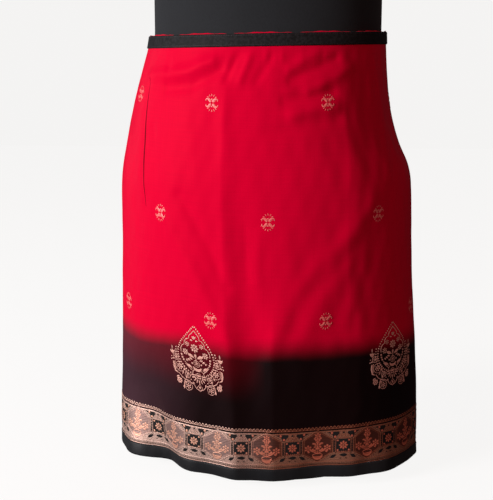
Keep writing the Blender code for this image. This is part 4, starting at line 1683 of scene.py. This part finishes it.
@dataclass
class Seams:
    """The panel's darts and the sewing thread: lockstitch rows, a worked buttonhole, a button's thread.

    The front dart's line is given as angle, level and width. A row is given as how far it is from
    its strip's edge and how far it stands out.
    """

    cloth: Cloth
    follower: Follower
    dart: tuple[Point3, ...] = (
        (-58.0, 520.0, 0.15), (-57.4, 508.0, 0.3), (-56.6, 495.0, 0.9), (-55.4, 477.0, 1.5),
        (-53.9, 454.0, 1.9), (-52.6, 430.0, 1.9), (-51.0, 400.0, 1.6), (-49.7, 373.0, 1.0),
        (-49.0, 358.0, 0.25),
    )
    dart_steps: int = 70
    stitch: float = 2.3
    stitch_width: float = 0.5
    pitch: float = 3.1
    columns: int = 420
    half_height: float = 4.0
    hole_length: float = 16.5
    hole_stitches: int = 19
    hole_out: float = 1.7
    band_low_row: Point2 = (1.9, 1.68)
    band_high_row: Point2 = (2.0, 1.62)
    hem_row: Point2 = (2.0, 0.86)
    button_from_end: float = 9.0
    button_out: float = 1.92
    thread_radius: float = 0.28
    well_hole: float = 1.06
    well_path: tuple[Point2, ...] = (
        (-1.06, 1.2), (-1.0, 1.8), (-0.5, 2.05), (0.5, 2.05), (1.0, 1.8), (1.06, 1.2))

    def dart_lines(self) -> Object:
        """Make the lines where the darts are sewn shut, as thin lips on the cloth, dark with painted shade.

        Returns:
            The lines' object.
        """
        front = np.array(self.dart)
        paths = [front]
        for dart in DARTS:
            if dart.angle > self.cloth.over_end() - 360.0 and not dart.own_line:
                upright = front.copy()
                upright[:, 0] = dart.angle - 360.0
                upright[:, 1] = np.linspace(front[0, 1], dart.end, len(front))
                paths.append(upright)
        profile = np.array(((-0.5, 0.02), (-0.2, 0.22), (0.2, 0.22), (0.5, 0.02)))
        points, flats, faces = [], [], []
        for path in paths:
            shares, steps = np.linspace(0.0, 1.0, len(path)), np.linspace(0.0, 1.0, self.dart_steps)
            angle, level, width = (np.interp(steps, shares, column) for column in path.T)
            reach = width / self.cloth.arc_scale(angle, level)
            turn = angle[:, None] + 360.0 + profile[None, :, 0] * reach[:, None]
            top = self.cloth.place(turn, level[:, None], profile[None, :, 1])
            low = self.cloth.place(turn, level[:, None], -0.3)
            ring = np.concatenate([top, low[:, ::-1]], axis=1)
            rows, first = ring.shape[1], len(points)
            faces += grid_faces(len(level), rows, first, closed=True)
            faces.append(tuple(range(first, first + rows))[::-1])
            faces.append(tuple(range(first + (len(level) - 1) * rows, first + len(level) * rows)))
            points += list(ring.reshape(-1, 3))
            flat = np.stack(np.broadcast_arrays(turn[:, :1], level[:, None] * np.ones(rows)), axis=2) * MM
            flats.append(flat.reshape(-1, 2))
        return make_object("dart_seams", points, faces, np.concatenate(flats))

    def stitch_figure(self) -> Object:
        """Make one stitch: a short dome of thread.

        Returns:
            The stitch's pattern object.
        """
        drawing = Drawing(0.3)
        drawing.shape([(self.stitch * x, self.stitch_width * y) for x, y in circle(0.0, 0.0, 0.5, 8)])
        return drawing.to_object("stitch_figure")

    def narrow_sheet(self, angle: Array, level: Array, out: float) -> tuple[Object, Array]:
        """Make a narrow sheet along a strip, for stitches to lie on.

        Args:
            angle: Unwrapped angles, as a column.
            level: The level of the sheet's middle at each angle.
            out: How far the strip's face stands out from the panel, in millimetres.

        Returns:
            The sheet, and how far along it each angle is, in metres from its middle.
        """
        rise = np.array([[-self.half_height, self.half_height]])
        points = self.cloth.place(angle, level + rise, out)
        along = np.concatenate([[0.0], np.cumsum(np.linalg.norm(np.diff(points[:, 0], axis=0), axis=1))])
        along = along - along[len(along) // 2]
        flat = np.stack(np.broadcast_arrays(along[:, None], rise * MM), axis=2)
        return make_sheet("strip_sheet", points, flat), along

    def strip_row(self, name: str, level_at: Callable[[Array], Array], out: float,
                  thread: Material) -> Mesh:
        """Sew a row of stitches along a strip.

        Args:
            name: The row's name.
            level_at: Gives the row's level at an angle.
            out: How far the strip's face stands out from the panel, in millimetres.
            thread: The thread's material.

        Returns:
            The stitches.
        """
        angle = self.cloth.angles(self.columns)[:, None]
        sheet, along = self.narrow_sheet(angle, level_at(angle), out)
        figure = self.stitch_figure()
        start, count = along[0] / MM + self.pitch, int((along[-1] - along[0]) / MM / self.pitch) - 1
        mesh = self.follower.lay(name, figure, sheet, count, (start, 0.0), (self.pitch, 0.0), 0.0, thread)
        bpy.data.objects.remove(figure)
        bpy.data.objects.remove(sheet)
        return mesh

    def buttonhole(self, thread: Material) -> Mesh:
        """Work the buttonhole round the button: close stitches across a slit, and a bar at each end.

        Args:
            thread: The thread's material.

        Returns:
            The stitches.
        """
        angle = (self.cloth.over_end() - self.button_from_end + np.linspace(-6.0, 6.0, 13))[:, None]
        level = self.cloth.band_top(angle) - self.cloth.band_height / 2.0
        sheet, _ = self.narrow_sheet(angle, level, self.hole_out)
        drawing = Drawing(0.32)
        half = self.hole_length / 2.0
        for x in np.linspace(-half, half, self.hole_stitches):
            for side in (1.0, -1.0):
                drawing.shape(rectangle(x, side, 0.4, 0.7))
        for x in (-half - 0.7, half + 0.7):
            for y in (-1.2, -0.4, 0.4, 1.2):
                drawing.shape(rectangle(x, y, 0.5, 0.4))
        figure = drawing.to_object("hole_figure")
        mesh = self.follower.lay("buttonhole", figure, sheet, 1, (0.0, 0.0), (0.0, 0.0), 0.0, thread)
        bpy.data.objects.remove(figure)
        bpy.data.objects.remove(sheet)
        return mesh

    def button_thread(self) -> Mesh:
        """Make the two bars of thread that cross the button's well from hole to hole.

        Returns:
            The bars.
        """
        angle = self.cloth.over_end() - self.button_from_end
        level = float(self.cloth.band_top(np.array(angle))) - self.cloth.band_height / 2.0
        spot = np.array([[angle - 1.0, angle, angle + 1.0]]).T
        near = self.cloth.place(spot, np.array([[level - 4.0, level, level + 4.0]]), self.button_out)
        centre, outward = near[1, 1], outward_normals(near)[1, 1]
        along = near[2, 1] - near[0, 1]
        along /= np.linalg.norm(along)
        upward = np.cross(outward, along)
        points, faces = [], []
        ring = circle(0.0, 0.0, self.thread_radius, 6)
        sides = len(ring)
        for row in (-self.well_hole, self.well_hole):
            first = len(points)
            for x, z in self.well_path:
                points += [centre + (along * x + upward * (row + side) + outward * (z + lift)) * MM
                           for side, lift in ring]
            faces += grid_faces(len(self.well_path), sides, first, closed=True)
            faces.append(tuple(range(first, first + sides))[::-1])
            faces.append(tuple(range(len(points) - sides, len(points))))
        mesh = bpy.data.meshes.new("button_thread")
        mesh.from_pydata([tuple(point) for point in points], [], faces)
        return mesh

    def build(self, thread: Material) -> Object:
        """Sew everything and give it as one piece.

        Args:
            thread: The sewing thread's material.

        Returns:
            The piece.
        """
        cloth = self.cloth
        (low, low_out), (high, high_out), (hem, hem_out) = self.band_low_row, self.band_high_row, self.hem_row
        rows = (
            ("band_low_row", lambda a: cloth.band_top(a) - cloth.band_height + low, low_out),
            ("band_high_row", lambda a: cloth.band_top(a) - high, high_out),
            ("hem_row", lambda a: cloth.hem_low(a) + cloth.binding_height - hem, hem_out),
        )
        meshes = [self.strip_row(name, level_at, out, thread) for name, level_at, out in rows]
        return join_meshes("sewing_thread", [*meshes, self.buttonhole(thread), self.button_thread()])


@dataclass
class DisplayForm:
    """The plain form: a jersey-covered column and hips, a pole and an oval base.

    The column starts at its section's level. Below the clearance's level the hips follow the cloth.
    """

    cloth: Cloth
    top: float = 658.0
    bottom: float = 284.0
    column: Section = Section(580.0, 147.0, 146.0, 96.5, 96.5)
    clearance: Section = Section(532.0, 3.4, 3.4, 6.5, 6.8)
    edge: float = 14.0
    strips: int = 144
    pole_radius: float = 12.5
    flange_radius: float = 30.0
    flange: float = 5.0
    gap: float = 0.3
    base_edge: float = 1.5

    def body(self) -> Object:
        """Make the form's body.

        Returns:
            The body's object.
        """
        corner = [self.edge * (1.0 - math.cos(math.radians(a))) for a in (0, 15, 30, 45, 60, 75, 90)]
        levels = [self.bottom + c for c in corner]
        levels += list(np.linspace(self.bottom + self.edge, self.top - self.edge, 60))[1:-1]
        levels += [self.top - c for c in corner[::-1]]
        level = np.array(levels)[:, None]
        share = smooth_step((level - self.clearance.level) / (self.column.level - self.clearance.level))
        near = np.minimum(level - self.bottom, self.top - level)
        inset = self.edge - np.sqrt(np.maximum(self.edge**2 - np.maximum(self.edge - near, 0.0) ** 2, 0.0))
        halves = {}
        for side in ("left", "right", "front", "back"):
            hips = self.cloth.half(side, level) - getattr(self.clearance, side)
            halves[side] = hips + share * (getattr(self.column, side) - hips) - inset
        turn = 2.0 * math.pi * np.arange(self.strips)[None, :] / self.strips
        across, along = np.sin(turn), -np.cos(turn)
        x = np.where(across > 0, halves["right"], halves["left"]) * across
        y = np.where(along > 0, halves["back"], halves["front"]) * along
        points = np.stack(np.broadcast_arrays(x, y, level), axis=2) * MM
        return self.loft("form_cover", points)

    def loft(self, name: str, points: Array) -> Object:
        """Skin a stack of closed rings and fill its ends.

        Args:
            name: The object's name.
            points: Points in metres, by ring and then round it.

        Returns:
            The object.
        """
        rings, count = points.shape[:2]
        faces = grid_faces(rings, count, closed=True, flip=True)
        faces.append(tuple(range(count))[::-1])
        faces.append(tuple(range((rings - 1) * count, rings * count)))
        made = make_object(name, points.reshape(-1, 3), faces)
        made.data.set_sharp_from_angle(angle=math.radians(35.0))
        return made

    def turned(self, name: str, outline: Sequence[Point3]) -> Object:
        """Skin a stack of ovals.

        Args:
            name: The object's name.
            outline: Half-width, half-depth and level of each oval, in millimetres.

        Returns:
            The object.
        """
        turn = 2.0 * math.pi * np.arange(self.strips) / self.strips
        rings = [np.stack([wide * np.sin(turn), -deep * np.cos(turn), np.full_like(turn, level)], axis=1)
                 for wide, deep, level in outline]
        return self.loft(name, np.array(rings) * MM)

    def pole(self) -> Object:
        """Make the pole with its two flanges.

        Returns:
            The pole's object.
        """
        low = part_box("form_base")[1][2] / MM + self.gap
        high = self.bottom - self.gap
        rim, shaft, flange = self.flange_radius, self.pole_radius, self.flange
        outline = [(rim - 0.4, low), (rim, low + 0.4)]
        outline += arc(rim - 1.0, low + flange - 1.0, 1.0, 0.0, 90.0, 4)
        outline += [(shaft + 1.5, low + flange), (shaft, low + flange + 1.5)]
        outline += [(r, high + low - z) for r, z in outline[::-1]]
        return self.turned("form_pole_tube", [(r, r, z) for r, z in outline])

    def base(self) -> Object:
        """Make the base plate with eased edges.

        Returns:
            The plate's object.
        """
        low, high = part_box("form_base")
        wide, deep, thick = high[0] / MM, high[1] / MM, (high[2] - low[2]) / MM
        outline = [(self.base_edge - x, self.base_edge - y)
                   for x, y in arc(0.0, 0.0, self.base_edge, 90.0, 0.0, 4)]
        outline += [(inset, thick - rise) for inset, rise in outline[::-1]]
        return self.turned("form_base_plate", [(wide - inset, deep - inset, rise) for inset, rise in outline])


@dataclass
class Studio:
    """Pale paper, a soft window light from the left and the camera at the photo's angle."""

    distance: float = 1.308
    height: float = 0.521
    pitch: float = 10.0
    side: float = 5.0
    heading: float = 6.2
    focal: float = 987.0
    image_height: float = 500.0
    aim: Point3 = (0.0, 0.0, 0.33)
    paper_half: float = 6.0

    def camera(self) -> None:
        """Make the scene's camera."""
        data = bpy.data.cameras.new("camera")
        data.sensor_width = 36.0
        data.lens = self.focal * data.sensor_width / self.image_height
        data.clip_start = 0.05
        camera = put_in_scene("camera", data)
        turn = math.radians(self.side)
        camera.location = (self.distance * math.sin(turn), -self.distance * math.cos(turn), self.height)
        camera.rotation_euler = (math.radians(90.0 - self.pitch), 0.0, math.radians(self.heading))
        bpy.context.scene.camera = camera

    def light(self, name: str, place: Point3, size: float, power: float, colour: str) -> None:
        """Add a soft round light that faces the skirt.

        Args:
            name: Its name.
            place: Where it stands, in metres.
            size: Its width, in metres.
            power: Its power, in watts.
            colour: Its sRGB hex colour.
        """
        data = bpy.data.lights.new(name, "AREA")
        data.shape = "DISK"
        data.size = size
        data.energy = power
        data.color = linear(colour)[:3]
        lamp = put_in_scene(name, data)
        lamp.location = place
        lamp.rotation_euler = (Vector(self.aim) - Vector(place)).to_track_quat("-Z", "Y").to_euler()

    def build(self) -> None:
        """Set up the paper, the world and the lights."""
        self.camera()
        corners = rectangle(0.0, 0.0, self.paper_half, self.paper_half)
        floor = make_object("paper", [(x, y, 0.0) for x, y in corners], [(0, 1, 2, 3)])
        floor.data.materials.append(PaperFinish("seamless_paper").build())
        self.light("window", (-2.2, -1.75, 1.05), 1.1, 85.0, "#FFFBFC")
        self.light("fill", (1.6, -2.4, 1.2), 2.2, 11.0, "#FFB4A0")
        self.light("side_glow", (-2.5, 0.5, 0.8), 1.8, 6.0, "#F4F6FF")
        world = bpy.data.worlds.new("studio")
        bpy.context.scene.world = world
        world.use_nodes = True
        tree = world.node_tree
        add = partial(add_node, tree)
        dim = tree.nodes["Background"]
        dim.inputs["Color"].default_value = linear("#DDE2EA")
        dim.inputs["Strength"].default_value = 0.05
        pale = add("ShaderNodeBackground", {"Color": linear("#FBFAF9"), "Strength": 0.94})
        seen = add("ShaderNodeLightPath").outputs["Is Camera Ray"]
        mixed = add("ShaderNodeMixShader", {0: seen, 1: dim.outputs[0], 2: pale.outputs[0]})
        tree.links.new(mixed.outputs[0], tree.nodes["World Output"].inputs["Surface"])
        bpy.context.scene.view_settings.view_transform = "Standard"


def main() -> None:
    """Build the skirt, its form and the studio, in that order."""
    logging.basicConfig(level=logging.INFO, format="%(name)s %(message)s")
    cloth = Cloth()
    # Plain-woven silk: saturated red that glows softly and falls to a red-black at the dip line.
    # Painted sheen lightens its black towards the left; painted shade darkens its zari border towards the
    # right.
    silk = SilkFinish("art_silk_dip_dyed").build()
    # Bias-cut cotton: dull black, mottled grey where raised yarns are rubbed. Its grain is drawn coarse.
    cotton = FabricFinish("cotton_bias_strip_woven", "#020102", "#2B282C", 3.2, depth=0.5, sheen=0.03,
                          spread=0.14).build()
    # Close-woven silk strip: deeper black, with a faint cool light along its folds.
    lining = FabricFinish("silk_hem_strip_woven", "#0D0E10", "#1D1F25", 1.2, 0.55, 0.2).build()
    # Fine jersey stretched over the form: even charcoal with no shine, its wales upright.
    jersey = FabricFinish("cotton_jersey_knitted", "#1A1C1F", "#2D3035", 1.6, 0.85, 0.3,
                          stretch=(1.0, 1.0, 0.6)).build()
    # Powder coat: satin black with a fine orange-peel ripple.
    steel = HardFinish("powder_coated_steel").build()
    # Cast and polished resin: near black with one sharp glint.
    resin = HardFinish("button_resin_polished", "#101012", roughness=0.2, ripple=3.0).build()
    # Zari is brightest where it lies loose, duller where silk is mixed in, and dyed where it was dipped.
    # The last colour given to coral, copper and taupe is painted shade, darkening them towards the right,
    # away from the window.
    threads = {
        Thread.CORAL: ThreadFinish("coral_zari_thread", "#FFC8AC", "#F0A88C", 0.5, 0.5, dull="#F0AEA0"),
        Thread.PINK: ThreadFinish("pink_zari_thread", "#FFC6BE", "#FFB4AC", 0.0, 0.42, "#FFA0A4"),
        Thread.COPPER: ThreadFinish("copper_zari_thread", "#FFDCCC", "#DCA894", 0.75, 0.6, dull="#CC977F"),
        Thread.TAUPE: ThreadFinish("zari_and_silk_mixed", "#B89890", "#9C7E78", 0.8, 0.58, dull="#A8786A"),
        Thread.ROSE: ThreadFinish("rose_zari_thread", "#FFC2B0", "#DC9E8E", 0.1, 0.44),
        Thread.BLACK: ThreadFinish("black_silk_float", "#140D0C", "#0A0606", 0.0, 0.8),
    }

    panel_maker = Panel(cloth)
    panel = dress(panel_maker.build(), silk)
    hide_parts("skirt_panel")
    sheet = panel_maker.sheet()
    follower = Follower()
    woven = {thread: finish.build() for thread, finish in threads.items()}
    zari = Zari(sheet, follower, woven)
    inlays = zari.border() + [zari.sprigs(), zari.bouquets()]
    order = (Thread.BLACK, Thread.TAUPE, Thread.COPPER, Thread.CORAL, Thread.PINK, Thread.ROSE)
    for piece, thread in zip(inlays, order):
        dress(piece, woven[thread])
    bpy.data.objects.remove(sheet)

    band_loop = ((0.35, 0.4), (0.9, 0.0), (1.35, 0.3), (1.55, 1.6), (1.62, 7.7), (1.5, 14.2), (1.3, 15.2),
                 (0.9, 15.5), (0.35, 15.1))
    band = Strip(cloth, "waistband_strip", band_loop).build(
        lambda angle: cloth.band_top(angle) - cloth.band_height, wave=0.06)
    dress(band, cotton)
    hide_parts("waistband")
    hem_loop = ((-0.9, 0.9), (-0.4, 0.1), (0.2, 0.0), (0.9, 0.5), (1.15, 2.0), (0.8, 8.5), (0.7, 14.6),
                (0.3, 16.0), (-0.5, 16.0), (-0.9, 14.5))
    hem = Strip(cloth, "hem_strip", hem_loop).build(cloth.hem_low, wave=0.12)
    dress(hem, lining)
    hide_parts("hem_binding")
    seams = Seams(cloth, follower)
    sewing_thread = ThreadFinish("polyester_sewing_thread", "#3C3B40", "#232226", 0.0, 0.5, pitch=0.6).build()
    sewing = dress(seams.build(sewing_thread), sewing_thread)
    # Painted shade: the silk's red darkened to stand in for the shadow in the fold of each dart.
    painted_fold_shade = ThreadFinish("silk_painted_fold_shade", "#A40020", "#6C0012", 0.7, 0.9, pitch=0.9).build()
    dart = dress(seams.dart_lines(), painted_fold_shade)
    form = DisplayForm(cloth)
    for piece, node, material, slot in (
        (form.body(), "form_body", jersey, Slot.JERSEY),
        (form.pole(), "form_pole", steel, Slot.STEEL),
        (form.base(), "form_base", steel, Slot.STEEL),
    ):
        dress(piece, material)
        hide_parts(node)
    for button_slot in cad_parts["waist_button"].material_slots:
        button_slot.material = resin

    Studio().build()


if __name__ == "__main__":
    main()
